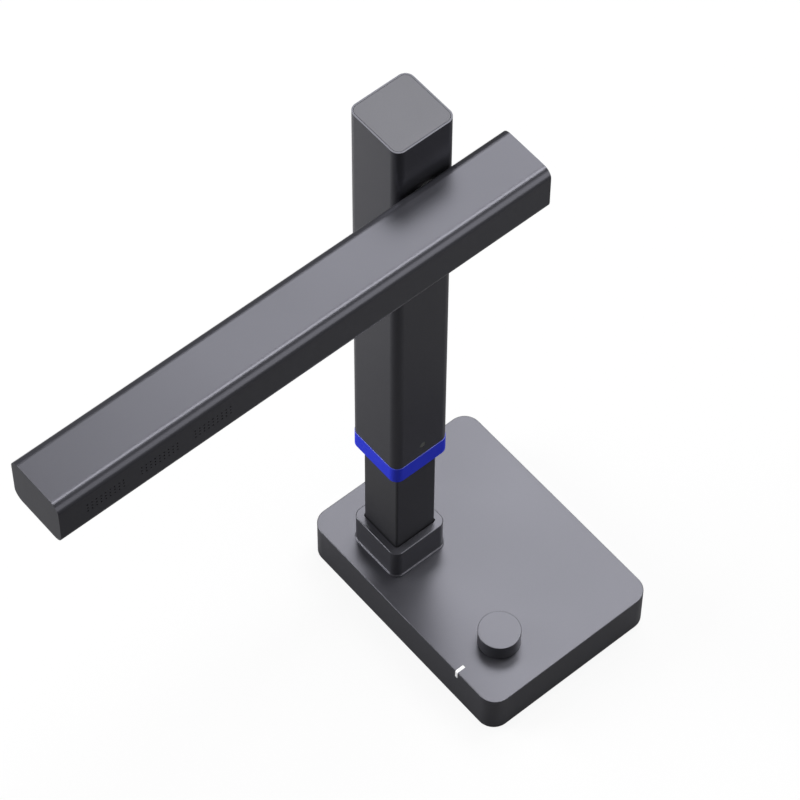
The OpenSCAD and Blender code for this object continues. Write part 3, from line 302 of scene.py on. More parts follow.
# look of each finish: colour, roughness, then grain as (scale, share of the tone, bump depth in metres)
# and cloud as (scale, share of the roughness), then what differs from plain plastic; stretch is the grain's
finishLooks = {
    "greyAluminium": ((0.073, 0.073, 0.086), 0.31, (5200, 0.05, 2.2e-6), (14, 0.05), {"metal": 0.65}),
    "baseAluminium": ((0.095, 0.095, 0.110), 0.31, (5200, 0.05, 2.2e-6), (14, 0.05), {"metal": 0.65}),
    "darkAluminium": ((0.065, 0.065, 0.073), 0.31, (4300, 0.06, 3e-6), (20, 0.06), {"metal": 0.65}),
    "bluePlastic": ((0.026, 0.042, 0.67), 0.5, (3400, 0.03, 3e-6), (30, 0.06), {"specular": 0.12}),
    # the ring's rim: a lighter blue that is a painted highlight, with a real higher specular and lower
    # roughness
    "blueEdge": ((0.10, 0.13, 0.72), 0.3, (3400, 0.03, 3e-6), (30, 0.06), {"specular": 0.8}),
    "plateSteel": ((0.30, 0.31, 0.33), 0.38, (900, 0.14, 3e-6), (60, 0.2),
                   {"metal": 1.0, "stretch": (1, 9, 1)}),
    "weightIron": ((0.040, 0.040, 0.043), 0.6, (700, 0.25, 6e-5), (45, 0.15), {"metal": 0.2}),
    "brightSteel": ((0.52, 0.52, 0.53), 0.24, (2600, 0.12, 3e-6), (90, 0.2),
                    {"metal": 1.0, "stretch": (0.25, 0.25, 3)}),
    "rivetGrey": ((0.105, 0.108, 0.103), 0.5, (2800, 0.08, 4e-6), (200, 0.1), {"metal": 0.15}),
    "brassParts": ((0.62, 0.42, 0.14), 0.28, (2200, 0.12, 3e-6), (120, 0.2),
                   {"metal": 1.0, "stretch": (0.3, 0.3, 3)}),
    "softPad": ((0.018, 0.018, 0.020), 0.72, (1500, 0.16, 1e-5), (30, 0.08), {"specular": 0.3}),
    "blackPlastic": ((0.020, 0.020, 0.022), 0.5, (2600, 0.14, 8e-6), (40, 0.1), {"specular": 0.4}),
    "cableBlack": ((0.014, 0.014, 0.015), 0.55, (2000, 0.18, 1e-5), (80, 0.12), {"specular": 0.35}),
    "whitePlastic": ((0.76, 0.76, 0.73), 0.42, (1800, 0.03, 6e-6), (50, 0.1), {}),
    "boardWhite": ((0.78, 0.78, 0.75), 0.36, (1200, 0.03, 3e-6), (60, 0.12), {}),
    "chipBlack": ((0.016, 0.016, 0.017), 0.45, (3800, 0.2, 5e-6), (300, 0.1), {"specular": 0.4}),
    "goldPlate": ((0.72, 0.48, 0.17), 0.25, (2600, 0.08, 2e-6), (150, 0.15), {"metal": 1.0}),
    "tinPlate": ((0.58, 0.58, 0.57), 0.32, (2200, 0.1, 3e-6), (150, 0.2), {"metal": 1.0}),
    "conePaper": ((0.035, 0.035, 0.037), 0.8, (1600, 0.22, 2e-5), (200, 0.1), {"specular": 0.25}),
    "phosphor": ((0.86, 0.70, 0.22), 0.5, (2600, 0.06, 6e-6), (300, 0.1), {}),
    "chipCeramic": ((0.80, 0.78, 0.72), 0.4, (2400, 0.04, 4e-6), (200, 0.1), {}),
}


def dress(tree, shader, grain, colours, cloud, roughs, depth):
    # colour and bump follow the grain, and the roughness follows the cloud
    wire(tone(tree, grain, *colours), shader.inputs["Base Color"])
    wire(spread(tree, cloud, *roughs), shader.inputs["Roughness"])
    bumpy(tree, shader, grain, depth)


def bothSides(value, share):
    return value * (1 - share), value * (1 + share)


def makeFinish(name, base, rough, grain, cloud, metal=0.0, specular=0.5, stretch=(1, 1, 1)):
    tree, shader = newFinish(name, base, rough, metal)
    shader.inputs["Specular IOR Level"].default_value = specular
    size, share, depth = grain
    grains = pattern(tree, "Noise", size, stretch, detail=2)
    clouds = pattern(tree, "Noise", cloud[0], detail=3)
    colours = zip(*[bothSides(c, share) for c in base])
    dress(tree, shader, grains, colours, clouds, bothSides(rough, cloud[1]), depth)


for name, (*look, special) in finishLooks.items():
    makeFinish(name, *look, **special)


markLook = {"base": (0.84, 0.84, 0.84), "dark": (0.80, 0.80, 0.80), "light": (0.87, 0.87, 0.87),
            "rough": 0.34, "glow": 0.12, "cloud": 260, "bump": 6e-6}


def makeMarkWhite():
    # lit white light pipe: a little brighter in soft clouds, as frosted acrylic is
    tree, shader = newFinish("markWhite", markLook["base"], markLook["rough"])
    cloud = pattern(tree, "Noise", markLook["cloud"], detail=2)
    wire(tone(tree, cloud, markLook["dark"], markLook["light"]), shader.inputs["Base Color"])
    shader.inputs["Emission Color"].default_value = (1, 1, 1, 1)
    wire(spread(tree, cloud, *bothSides(markLook["glow"], 0.2)), shader.inputs["Emission Strength"])
    bumpy(tree, shader, cloud, markLook["bump"])


boardLook = {"mask": (0.010, 0.085, 0.040), "trace": (0.016, 0.13, 0.060), "rough": (0.30, 0.38),
             "pitch": 230, "blocks": 160, "fine": 2400, "bump": 2e-5}


def makeBoardGreen():
    # solder mask: raised traces show lighter through it, broken into stretches by cells
    tree, shader = newFinish("boardGreen", boardLook["mask"], boardLook["rough"][0])
    along = pattern(tree, "Wave", boardLook["pitch"], detail=0)
    blocks = pattern(tree, "Voronoi", boardLook["blocks"])
    lines = nodeMath(tree, "MULTIPLY", spread(tree, along, 0.0, 1.0, 0.55, 0.62),
                     spread(tree, blocks, 0.0, 1.0, 0.30, 0.34))
    fine = pattern(tree, "Noise", boardLook["fine"], detail=2)
    dress(tree, shader, lines, (boardLook["mask"], boardLook["trace"]), fine, boardLook["rough"],
          boardLook["bump"])


ribbonLook = {"film": (0.72, 0.72, 0.68), "wire": (0.56, 0.57, 0.56), "pitch": 314, "rough": (0.42, 0.32),
              "bump": 4e-5}


def makeRibbonWhite(turn=(0, 0, 0)):
    # flat cable: film with the conductors showing through as even stripes
    tree, shader = newFinish("ribbonWhite", ribbonLook["film"], ribbonLook["rough"][0])
    stripes = pattern(tree, "Wave", ribbonLook["pitch"], detail=0, turn=turn)
    dress(tree, shader, stripes, (ribbonLook["film"], ribbonLook["wire"], 0.55, 0.7), stripes,
          ribbonLook["rough"], ribbonLook["bump"])


frostLook = {"base": (0.80, 0.80, 0.78), "dark": (0.77, 0.77, 0.75), "light": (0.83, 0.83, 0.81),
             "rough": (0.44, 0.58), "through": 0.35, "ior": 1.49, "etch": 2800, "bump": 1e-5}


def makeLampFrost():
    # frosted light cover: part of the light goes through, and the face is finely etched
    tree, shader = newFinish("lampFrost", frostLook["base"], frostLook["rough"][0])
    etch = pattern(tree, "Noise", frostLook["etch"], detail=2)
    dress(tree, shader, etch, (frostLook["dark"], frostLook["light"]), etch, frostLook["rough"],
          frostLook["bump"])
    setInputs(shader, {"Transmission Weight": frostLook["through"], "IOR": frostLook["ior"]})


glassLook = {"window": (0.36, 0.38, 0.41), "windowThrough": 0.9, "lens": (0.030, 0.040, 0.075),
             "rough": (0.02, 0.06), "coatRough": 0.03, "ior": 1.52, "marks": 70, "markLight": 1.25}


def makeGlass(name, base, coat, through=0.0):
    # coated glass: dark body, clear sheen, faint wiping marks in the roughness
    tree, shader = newFinish(name, base, glassLook["rough"][0])
    setInputs(shader, {"Coat Weight": coat, "Coat Roughness": glassLook["coatRough"], "IOR": glassLook["ior"],
                       "Transmission Weight": through})
    marks = pattern(tree, "Noise", glassLook["marks"], (1, 3, 1), detail=4)
    wire(spread(tree, marks, *glassLook["rough"]), shader.inputs["Roughness"])
    wire(tone(tree, marks, base, [c * glassLook["markLight"] for c in base]), shader.inputs["Base Color"])


makeMarkWhite()
makeBoardGreen()
makeRibbonWhite()
makeLampFrost()
makeGlass("darkGlass", glassLook["window"], 0.0, glassLook["windowThrough"])
makeGlass("lensGlass", glassLook["lens"], 1.0)

# a slot's finish has the slot's own name in camel case, apart from these slots and nodes
slotFinish = {"dark_plastic": "baseAluminium", "lamp_chip": "phosphor", "status_light": "markWhite"}
nodeFinish = {"base_cover": "baseAluminium", "knob_cap": "baseAluminium", "sleeve_cap": "darkAluminium"}
nodeSlot = {part["node"]: part["material_slot"] for part in frame["record"]["subparts"]}


def finishOf(slot):
    first, *rest = slot.split("_")
    return slotFinish.get(slot, first + "".join(word.title() for word in rest))


for name, node in nodes.items():
    for place in node.material_slots:
        place.material = finishes[nodeFinish.get(name, finishOf(nodeSlot[name]))]
print("finishes made:", len(finishes))


# tools for making pieces
sameSpot = 0.000001     # corners closer than this are one
sameLevel = 0.00001     # heights closer than this are one


def openEdit(piece, kind="FACE"):
    onlySelect(piece)
    bpy.ops.object.mode_set(mode="EDIT")
    bpy.ops.mesh.select_mode(type=kind)
    bpy.ops.mesh.select_all(action="DESELECT")


def closeEdit():
    bpy.ops.object.mode_set(mode="OBJECT")


def pickFaces(piece, test):
    # selects the faces whose middle and normal pass the test
    shape = bmesh.from_edit_mesh(piece.data)
    for face in shape.faces:
        face.select_set(bool(test(face.calc_center_median(), face.normal)))
    shape.select_flush(True)
    bmesh.update_edit_mesh(piece.data)


def pickEdges(piece, test):
    shape = bmesh.from_edit_mesh(piece.data)
    for edge in shape.edges:
        a, b = edge.verts[0].co, edge.verts[1].co
        edge.select_set(bool(test(a, b)))
    bmesh.update_edit_mesh(piece.data)


def extrudeBy(z, y=0):
    bpy.ops.mesh.extrude_region_move(TRANSFORM_OT_translate={"value": (0, y, z)})


def insetBy(width):
    bpy.ops.mesh.inset(thickness=width)


def growBy(share):
    bpy.ops.transform.resize(value=(share, share, 1))


def raiseBy(z):
    bpy.ops.transform.translate(value=(0, 0, z))


def pickAll():
    bpy.ops.mesh.select_all(action="SELECT")


def settle(piece):
    onlySelect(piece)
    bpy.ops.object.transform_apply(location=True, rotation=True, scale=True)


def smoothed(piece, angle):
    onlySelect(piece)
    bpy.ops.object.shade_smooth_by_angle(angle=angle)


def applyModifier(piece, kind, **settings):
    onlySelect(piece)
    mod = piece.modifiers.new(kind.lower(), kind)
    for key, value in settings.items():
        setattr(mod, key, value)
    bpy.ops.object.modifier_apply(modifier=mod.name)


def outwards(piece):
    openEdit(piece)
    pickAll()
    bpy.ops.mesh.remove_doubles(threshold=sameSpot)
    bpy.ops.mesh.normals_make_consistent(inside=False)
    closeEdit()


def paintIn(piece, *names):
    piece.data.materials.clear()
    for name in names:
        piece.data.materials.append(finishes[name])


def paintSecond(piece, test):
    # gives the faces that pass the test the piece's second finish
    for face in piece.data.polygons:
        if test(face.center, face.normal):
            face.material_index = 1


def breakEdges(piece, width, steps, sharp):
    applyModifier(piece, "BEVEL", width=width, segments=steps, limit_method="ANGLE", angle_limit=sharp)


def blockOf(name, low, high, edge=0.0, steps=2, upright=0.0, uprightSteps=5):
    # a box between two corners; upright rounds its four vertical edges, edge all the others
    low, high = Vector(low), Vector(high)
    deselectAll()
    bpy.ops.mesh.primitive_cube_add(size=1, location=(low + high) / 2)
    piece = added(name)
    piece.scale = high - low
    settle(piece)
    if upright:
        openEdit(piece, "EDGE")
        pickEdges(piece, lambda a, b: abs(a.z - b.z) > 0.5 * (high.z - low.z))
        bpy.ops.mesh.bevel(offset=upright, segments=uprightSteps, affect="EDGES")
        closeEdit()
    if edge:
        breakEdges(piece, edge, steps, 0.9)
    return piece


def turned(name, profile, sides):
    # a round piece about Z from (radius, height) pairs: one cone, then extrude and scale
    (r, z), (rNext, zNext) = profile[0], profile[1]
    deselectAll()
    bpy.ops.mesh.primitive_cone_add(vertices=sides, radius1=r, radius2=rNext, depth=zNext - z,
                                    end_fill_type="NGON", location=(0, 0, (z + zNext) / 2))
    piece = added(name)
    settle(piece)
    openEdit(piece)
    pickFaces(piece, lambda c, n: n.z > 0.9 and abs(c.z - zNext) < 0.0000005 and len(profile) > 2)
    r, z = rNext, zNext
    for rNext, zNext in profile[2:]:
        extrudeBy(zNext - z)
        growBy(rNext / r)
        r, z = rNext, zNext
    closeEdit()
    return piece


def placedCopy(piece, spot, direction=(0, 0, 1), name=None):
    # a copy with its own mesh, its Z axis turned along direction, moved to spot
    copy = newObject(name or piece.name + "Copy", piece.data.copy())
    turn = Vector((0, 0, 1)).rotation_difference(Vector(direction).normalized())
    copy.data.transform(Matrix.Translation(Vector(spot)) @ turn.to_matrix().to_4x4())
    return copy


def joined(pieces, name):
    deselectAll()
    for piece in pieces:
        piece.select_set(True)
    bpy.context.view_layer.objects.active = pieces[0]
    if len(pieces) > 1:
        bpy.ops.object.join()
    whole = bpy.context.view_layer.objects.active
    whole.name = name
    return whole


def discard(*pieces):
    for piece in pieces:
        bpy.data.objects.remove(piece)


def movedTo(model, spot, direction, name):
    # stands a finished model in its place under its own name
    piece = placedCopy(model, spot, direction, name)
    discard(model)
    return piece


copyLook = {"steps": 2, "sharp": 0.6, "flat": 0.01, "smooth": 0.7, "weight": 80}


def softCopy(node, name, width):
    # a merged copy of a CAD solid; with a width, its flat faces are made whole and its edges broken
    copy = newObject(name, nodes[node].data.copy())
    paintIn(copy, finishOf(nodeSlot[node]))
    openEdit(copy)
    pickAll()
    bpy.ops.mesh.remove_doubles(threshold=sameSpot)
    if width:
        bpy.ops.mesh.dissolve_limited(angle_limit=copyLook["flat"])
    closeEdit()
    if width:
        breakEdges(copy, width, copyLook["steps"], copyLook["sharp"])
    smoothed(copy, copyLook["smooth"])
    applyModifier(copy, "WEIGHTED_NORMAL", keep_sharp=True, weight=copyLook["weight"])
    return copy


def islands(node):
    # the separate solids of a CAD node, each as its list of corner points
    mesh = nodes[node].data
    keyOf = [tuple(round(c * 1000000) for c in v.co) for v in mesh.vertices]
    parent = {}

    def root(k):
        while parent.setdefault(k, k) != k:
            parent[k] = parent[parent[k]]
            k = parent[k]
        return k

    for polygon in mesh.polygons:
        first = root(keyOf[polygon.vertices[0]])
        for index in polygon.vertices[1:]:
            parent[root(keyOf[index])] = first
    groups = {}
    for k in parent:
        groups.setdefault(root(k), []).append(Vector(k) / 1000000)
    return [groups[k] for k in sorted(groups)]


def finishPiece(piece, body, slot, *replaces):
    # a piece that has no finish yet gets its slot's
    if not piece.data.materials:
        paintIn(piece, finishOf(slot))
    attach(piece, body)
    if replaces:
        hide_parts(*replaces)


# screws: every fastener is a turned screw with a star recess and ring threads
screwLook = {"sides": 24, "pitch": 0.0006, "threadDeep": 0.09, "recessWide": 0.56, "recessDeep": 0.45,
             "starIn": 0.74}


def makeScrew(name, radius, length, headRadius, headTop, sunk):
    # shank from -length up to the head; the head's flat end faces up
    ring = radius * (1 - screwLook["threadDeep"])
    turns = max(2, int((length - radius) / screwLook["pitch"]))
    step = (length - radius * 0.6) / turns
    profile = [(radius * 0.45, -length), (radius * 0.72, -length + radius * 0.3)]
    z = -length + radius * 0.6
    for k in range(turns):
        profile += [(ring, z + step * 0.05), (radius * 0.995, z + step * 0.5), (ring, z + step * 0.95)]
        z += step
    if sunk:
        profile += [(headRadius * 0.985, headTop - headRadius * 0.06), (headRadius * 0.96, headTop)]
    else:
        profile += [(headRadius * 0.97, 0.00002), (headRadius * 0.99, headTop * 0.15),
                    (headRadius * 0.97, headTop * 0.7), (headRadius * 0.86, headTop * 0.93),
                    (headRadius * 0.74, headTop)]
    piece = turned(name, profile, screwLook["sides"])
    openEdit(piece)
    pickFaces(piece, lambda c, n: n.z > 0.9 and abs(c.z - headTop) < sameSpot)
    wide = headRadius * screwLook["recessWide"] / profile[-1][0]
    extrudeBy(0)
    growBy(wide)
    shape = bmesh.from_edit_mesh(piece.data)
    rim = [v for v in shape.verts if v.select]
    rim.sort(key=lambda v: math.atan2(v.co.y, v.co.x))
    for k, v in enumerate(rim):
        inner = (1.0, 0.87, screwLook["starIn"], 0.87)[k % 4]
        v.co.x *= inner
        v.co.y *= inner
    bmesh.update_edit_mesh(piece.data)
    extrudeBy(-headRadius * screwLook["recessDeep"])
    growBy(0.9)
    closeEdit()
    smoothed(piece, 0.5)
    return piece


def screwsFor(node, body, axis):
    # measures every screw of the node, makes each size once, and stands copies in their places
    copies, made = [], {}
    across = [k for k in range(3) if k != axis]
    for points in islands(node):
        low, high = extent(points)
        middle = (low + high) / 2

        def reach(end):
            return max(Vector([p[k] - middle[k] for k in across]).length
                       for p in points if abs(p[axis] - end) < sameLevel)

        lowReach, highReach = reach(low[axis]), reach(high[axis])
        way = 1 if highReach > lowReach else -1
        headRadius, radius = max(lowReach, highReach), min(lowReach, highReach)
        levels = sorted({round(p[axis], 6) for p in points})
        inner = [v for v in levels if low[axis] + sameLevel < v < high[axis] - sameLevel]
        length = high[axis] - low[axis]
        headHigh, sunk = length * 0.3, True
        if inner:
            neck = inner[-1] if way > 0 else inner[0]
            headHigh = (high[axis] - neck) if way > 0 else (neck - low[axis])
            sunk = reach(neck) < radius * 1.05
        kind = (*[round(v, 5) for v in (radius, length, headRadius, headHigh)], sunk)
        if kind not in made:
            made[kind] = makeScrew(node + "Model%d" % len(made), radius, length - headHigh,
                                   headRadius, headHigh, sunk)
        spot = middle.copy()
        spot[axis] = high[axis] - headHigh if way > 0 else low[axis] + headHigh
        direction = Vector((0, 0, 0))
        direction[axis] = way
        copies.append(placedCopy(made[kind], spot, direction))
    discard(*made.values())
    finishPiece(joined(copies, node + "Detailed"), body, "bright_steel", node)
    return len(copies)


# node, body and the axis that its screws lie along
screwSets = (("base_screws", "base", 2), ("board_screws", "base", 2), ("column_screws", "base", 1),
             ("block_screws", "mast_sleeve", 1), ("flange_screws", "head_bar", 1),
             ("bar_screws", "head_bar", 2), ("bar_board_screws", "head_bar", 2))
print("screws made:", sum(screwsFor(*screwSet) for screwSet in screwSets))


# rivet above the ring: flat disc with a turned rim, flush with the sleeve's front
rivetLook = {"sides": 48, "rim": 0.00012, "gap": 0.00008}


def makeRivet():
    low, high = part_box("ring_rivet")
    r, deep = (high.x - low.x) / 2 - rivetLook["gap"], high.y - low.y
    rim = rivetLook["rim"]
    model = turned("ringRivetModel", [
        (r * 0.8, -deep), (r, -deep + 3 * rim), (r, -2 * rim), (r - rim * 0.4, -rim * 0.7),
        (r - 1.4 * rim, 0), (r * 0.80, 0), (r * 0.78, -rim * 0.35), (r * 0.3, -rim * 0.2)],
        rivetLook["sides"])
    smoothed(model, 0.5)
    middle = middleOf(low, high)
    rivet = movedTo(model, (middle.x, low.y, middle.z), (0, -1, 0), "ringRivetDetailed")
    finishPiece(rivet, "mast_sleeve", "rivet_grey", "ring_rivet")


makeRivet()
print("rivet made")


# silicone pad under the base: rounded rim, shallow recess, grid of studs that touch the desk
padLook = {"corner": 7 * mm, "edge": 0.45 * mm, "rim": 4.5 * mm, "recess": 0.45 * mm, "stud": 3.1 * mm,
           "columns": 7, "rows": 10, "studSides": 20}


def makeBasePad():
    low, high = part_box("base_pad")
    pad = blockOf("basePadDetailed", low, high, padLook["edge"], 3, padLook["corner"], 10)
    openEdit(pad)
    pickFaces(pad, lambda c, n: n.z < -0.9 and c.z < low.z + sameLevel)
    insetBy(padLook["rim"])
    insetBy(padLook["recess"])
    raiseBy(padLook["recess"])
    closeEdit()
    r, deep = padLook["stud"], padLook["recess"]
    stud = turned("padStud", [(r * 0.86, 0), (r * 0.97, deep * 0.25), (r, deep * 0.6), (r, deep * 1.3)],
                  padLook["studSides"])
    pieces = [pad]
    wide = (high.x - low.x) - 2 * padLook["rim"] - 4 * r
    long = (high.y - low.y) - 2 * padLook["rim"] - 4 * r
    for i in range(padLook["columns"]):
        for j in range(padLook["rows"]):
            x = wide * (i / (padLook["columns"] - 1) - 0.5)
            y = long * (j / (padLook["rows"] - 1) - 0.5)
            pieces.append(placedCopy(stud, (x, y, low.z)))
    discard(stud)
    whole = joined(pieces, "basePadDetailed")
    smoothed(whole, 0.6)
    finishPiece(whole, "base", "soft_pad", "base_pad")


makeBasePad()
print("base pad made")


# cables: tubes along smooth routes

def tubeAlong(name, points, radius, sides, finish):
    shape = bpy.data.curves.new(name, "CURVE")
    shape.dimensions = "3D"
    line = shape.splines.new("POLY")
    line.points.add(len(points) - 1)
    for target, point in zip(line.points, points):
        target.co = (*point, 1)
    shape.bevel_depth = radius
    shape.bevel_resolution = sides
    shape.use_fill_caps = True
    onlySelect(newObject(name, shape))
    bpy.ops.object.convert(target="MESH")
    piece = added(name)
    outwards(piece)
    smoothed(piece, 0.8)
    paintIn(piece, finish)
    return piece


def arc(middle, radius, a, b, u, v, steps):
    # points on a circle round middle, in the plane of the directions u and v, angles in degrees
    turn = [math.radians(a + (b - a) * k / steps) for k in range(steps + 1)]
    return [Vector(middle) + radius * (math.cos(t) * Vector(u) + math.sin(t) * Vector(v)) for t in turn]


def straight(a, b, steps):
    a, b = Vector(a), Vector(b)
    return [a + (b - a) * (k / steps) for k in range(steps + 1)]


leadLook = {"wire": 1.3 * mm, "turns": 7.5, "perTurn": 18, "lead": 5 * mm, "tuck": 8 * mm, "clear": 0.15 * mm,
            "growTurns": 0.6, "blend": 2 * mm, "reachBelow": 40 * mm, "reachAbove": 10 * mm}


def makeCoiledLead():
    low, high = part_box("coiled_lead")
    x, y = (low.x + high.x) / 2, (low.y + high.y) / 2
    around = (high.x - low.x) / 2 - leadLook["wire"] - leadLook["clear"]
    bottom, top = low.z + leadLook["lead"], high.z - leadLook["lead"]
    turns = leadLook["turns"]
    count = int(turns * leadLook["perTurn"])
    points = straight((x, y, low.z - leadLook["tuck"]), (x, y, bottom - leadLook["blend"]), 4)
    for k in range(count + 1):
        share = k / count
        grow = min(1.0, share * turns / leadLook["growTurns"], (1 - share) * turns / leadLook["growTurns"])
        grow = grow * grow * (3 - 2 * grow)
        turn = 2 * math.pi * turns * share
        z = bottom + (top - bottom) * share
        points.append(Vector((x + around * grow * math.cos(turn), y + around * grow * math.sin(turn), z)))
    points += straight((x, y, top + leadLook["blend"]), (x, y, high.z), 2)
    lead = tubeAlong("coiledLeadDetailed", points, leadLook["wire"], 2, "cableBlack")
    finishPiece(lead, "mast_sleeve", "cable_black", "coiled_lead")
    lead.parent = None
    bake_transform(lead)


cableLook = {"bend": 8 * mm, "mastThin": 0.93, "headThin": 0.96, "branchThin": 0.48, "sleeveThin": 0.995,
             "lowSleeve": 9 * mm, "topSleeve": 12 * mm, "headR": 2 * mm, "branchIn": 8 * mm, "ties": 5,
             "tieLong": 2.2 * mm}


def makeMastCable():
    low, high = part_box("mast_cable")
    y, r = (low.y + high.y) / 2, (high.y - low.y) / 2
    x, z, bend = low.x + r, low.z + r, cableLook["bend"]
    route = straight((high.x, y, z), (x + bend + 1 * mm, y, z), 8)
    route += arc((x + bend, y, z + bend), bend, 270, 180, (1, 0, 0), (0, 0, 1), 12)
    route += straight((x, y, z + bend + 1 * mm), (x, y, high.z), 24)
    pieces = [tubeAlong("mastCableDetailed", route, r * cableLook["mastThin"], 4, "cableBlack")]
    # heat-shrink sleeves over both ends
    for a, b in (((high.x, y, z), (high.x - cableLook["lowSleeve"], y, z)),
                 ((x, y, high.z - cableLook["topSleeve"]), (x, y, high.z))):
        sleeve = straight(a, b, 4)
        pieces.append(tubeAlong("cableSleeve", sleeve, r * cableLook["sleeveThin"], 4, "blackPlastic"))
    finishPiece(joined(pieces, "mastCableDetailed"), "base", "cable_black", "mast_cable")


def makeHeadCable():
    low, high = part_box("head_cable")
    r, bend = cableLook["headR"], cableLook["bend"]
    y, z, x = low.y + r, high.z - r, high.x - r
    route = straight((low.x, y, z), (x - bend - 1 * mm, y, z), 30)
    route += arc((x - bend, y + bend, z), bend, 270, 360, (1, 0, 0), (0, 1, 0), 12)
    route += straight((x, y + bend + 1 * mm, z), (x, high.y, z), 10)
    pieces = [tubeAlong("headCableDetailed", route, r * cableLook["headThin"], 3, "cableBlack")]
    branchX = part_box("led_board")[1].x - cableLook["branchIn"]
    pieces.append(tubeAlong("lampWires", straight((branchX, y, low.z), (branchX, y, z), 4),
                            r * cableLook["branchThin"], 3, "cableBlack"))
    for k in range(cableLook["ties"]):
        tieX = low.x + (x - bend - low.x) * (k + 0.7) / (cableLook["ties"] + 0.4)
        pieces.append(tubeAlong("cableTie", straight((tieX, y, z), (tieX + cableLook["tieLong"], y, z), 2),
                                r * cableLook["sleeveThin"], 3, "blackPlastic"))
    finishPiece(joined(pieces, "headCableDetailed"), "head_bar", "cable_black", "head_cable")


flatLook = {"wide": 8 * mm, "thick": 0.4 * mm, "gap": 0.01 * mm}


def makeRibbon():
    # flat cable folded once at 45 degrees: two films that meet on the fold, and an end bent down
    low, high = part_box("knob_ribbon")
    wide, thick, gap = flatLook.values()
    left, top, half = high.x - wide, high.z, thick / 2
    under = blockOf("ribbonUnder", (low.x, low.y, top - thick), (high.x, low.y + wide, top - half - gap))
    over = blockOf("ribbonOver", (left, low.y, top - half + gap), (high.x, high.y, top))
    for piece in (under, over):
        openEdit(piece)
        pickAll()
        bpy.ops.mesh.bisect(plane_co=(left + wide / 2, low.y + wide / 2, top), plane_no=(1, -1, 0),
                            use_fill=True, clear_outer=True)
        closeEdit()
    fold = straight((left + half, low.y + half, top - half),
                    (high.x - half, low.y + wide - half, top - half), 2)
    crease = tubeAlong("ribbonCrease", fold, half * 0.98, 2, "ribbonWhite")
    down = blockOf("ribbonDown", (left, high.y - thick, low.z), (high.x, high.y - half, top - half))
    paintIn(under, "ribbonWhite.001")
    for piece in (over, down):
        paintIn(piece, "ribbonWhite")
    whole = joined([over, under, crease, down], "knobRibbonDetailed")
    finishPiece(whole, "base", "ribbon_white", "knob_ribbon")


makeRibbonWhite((0, 0, math.radians(90)))   # becomes ribbonWhite.001
makeCoiledLead()
makeMastCable()
makeHeadCable()
makeRibbon()
print("cables made")


# data port: drawn steel shell, tongue with two rows of contacts
portLook = {"shell": 0.3 * mm, "round": 1.62 * mm, "bore": 0.84, "tongue": (5.8 * mm, 0.7 * mm),
            "tongueEdge": 0.12 * mm, "contacts": 12, "contactPitch": 0.45 * mm, "contactWide": 0.25 * mm}


def makePort():
    low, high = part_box("usb_c_port")
    w, h, deep = high.x - low.x, high.z - low.z, high.y - low.y
    shell = blockOf("portShell", (-w / 2, -h / 2, 0), (w / 2, h / 2, deep), 0, 2, portLook["round"], 8)
    openEdit(shell)
    pickFaces(shell, lambda c, n: n.z > 0.9)
    insetBy(portLook["shell"])
    extrudeBy(-deep * portLook["bore"])
    closeEdit()
    smoothed(shell, 0.7)
    paintIn(shell, "brightSteel")
    tw, th = portLook["tongue"]
    tongue = blockOf("portTongue", (-tw / 2, -th / 2, deep * 0.12), (tw / 2, th / 2, deep * 0.86),
                     portLook["tongueEdge"])
    paintIn(tongue, "chipBlack")
    half = portLook["contactWide"] / 2
    contact = blockOf("portContact", (-half, -0.02 * mm, 0), (half, 0.02 * mm, deep * 0.5), 0.008 * mm, 1)
    paintIn(contact, "goldPlate")
    pieces = [shell, tongue]
    for k in range(portLook["contacts"]):
        x = (k - (portLook["contacts"] - 1) / 2) * portLook["contactPitch"]
        for side in (-1, 1):
            pieces.append(placedCopy(contact, (x, side * th / 2, deep * 0.3)))
    discard(contact)
    middle = middleOf(low, high)
    port = movedTo(joined(pieces, "portModel"), (middle.x, low.y, middle.z), (0, 1, 0), "portDetailed")
    finishPiece(port, "base", "bright_steel", "usb_c_port")


makePort()
print("port made")


# camera: barrel with baffle rings and a domed front lens, looking down
lensLook = {"sides": 56, "groove": 0.18 * mm}


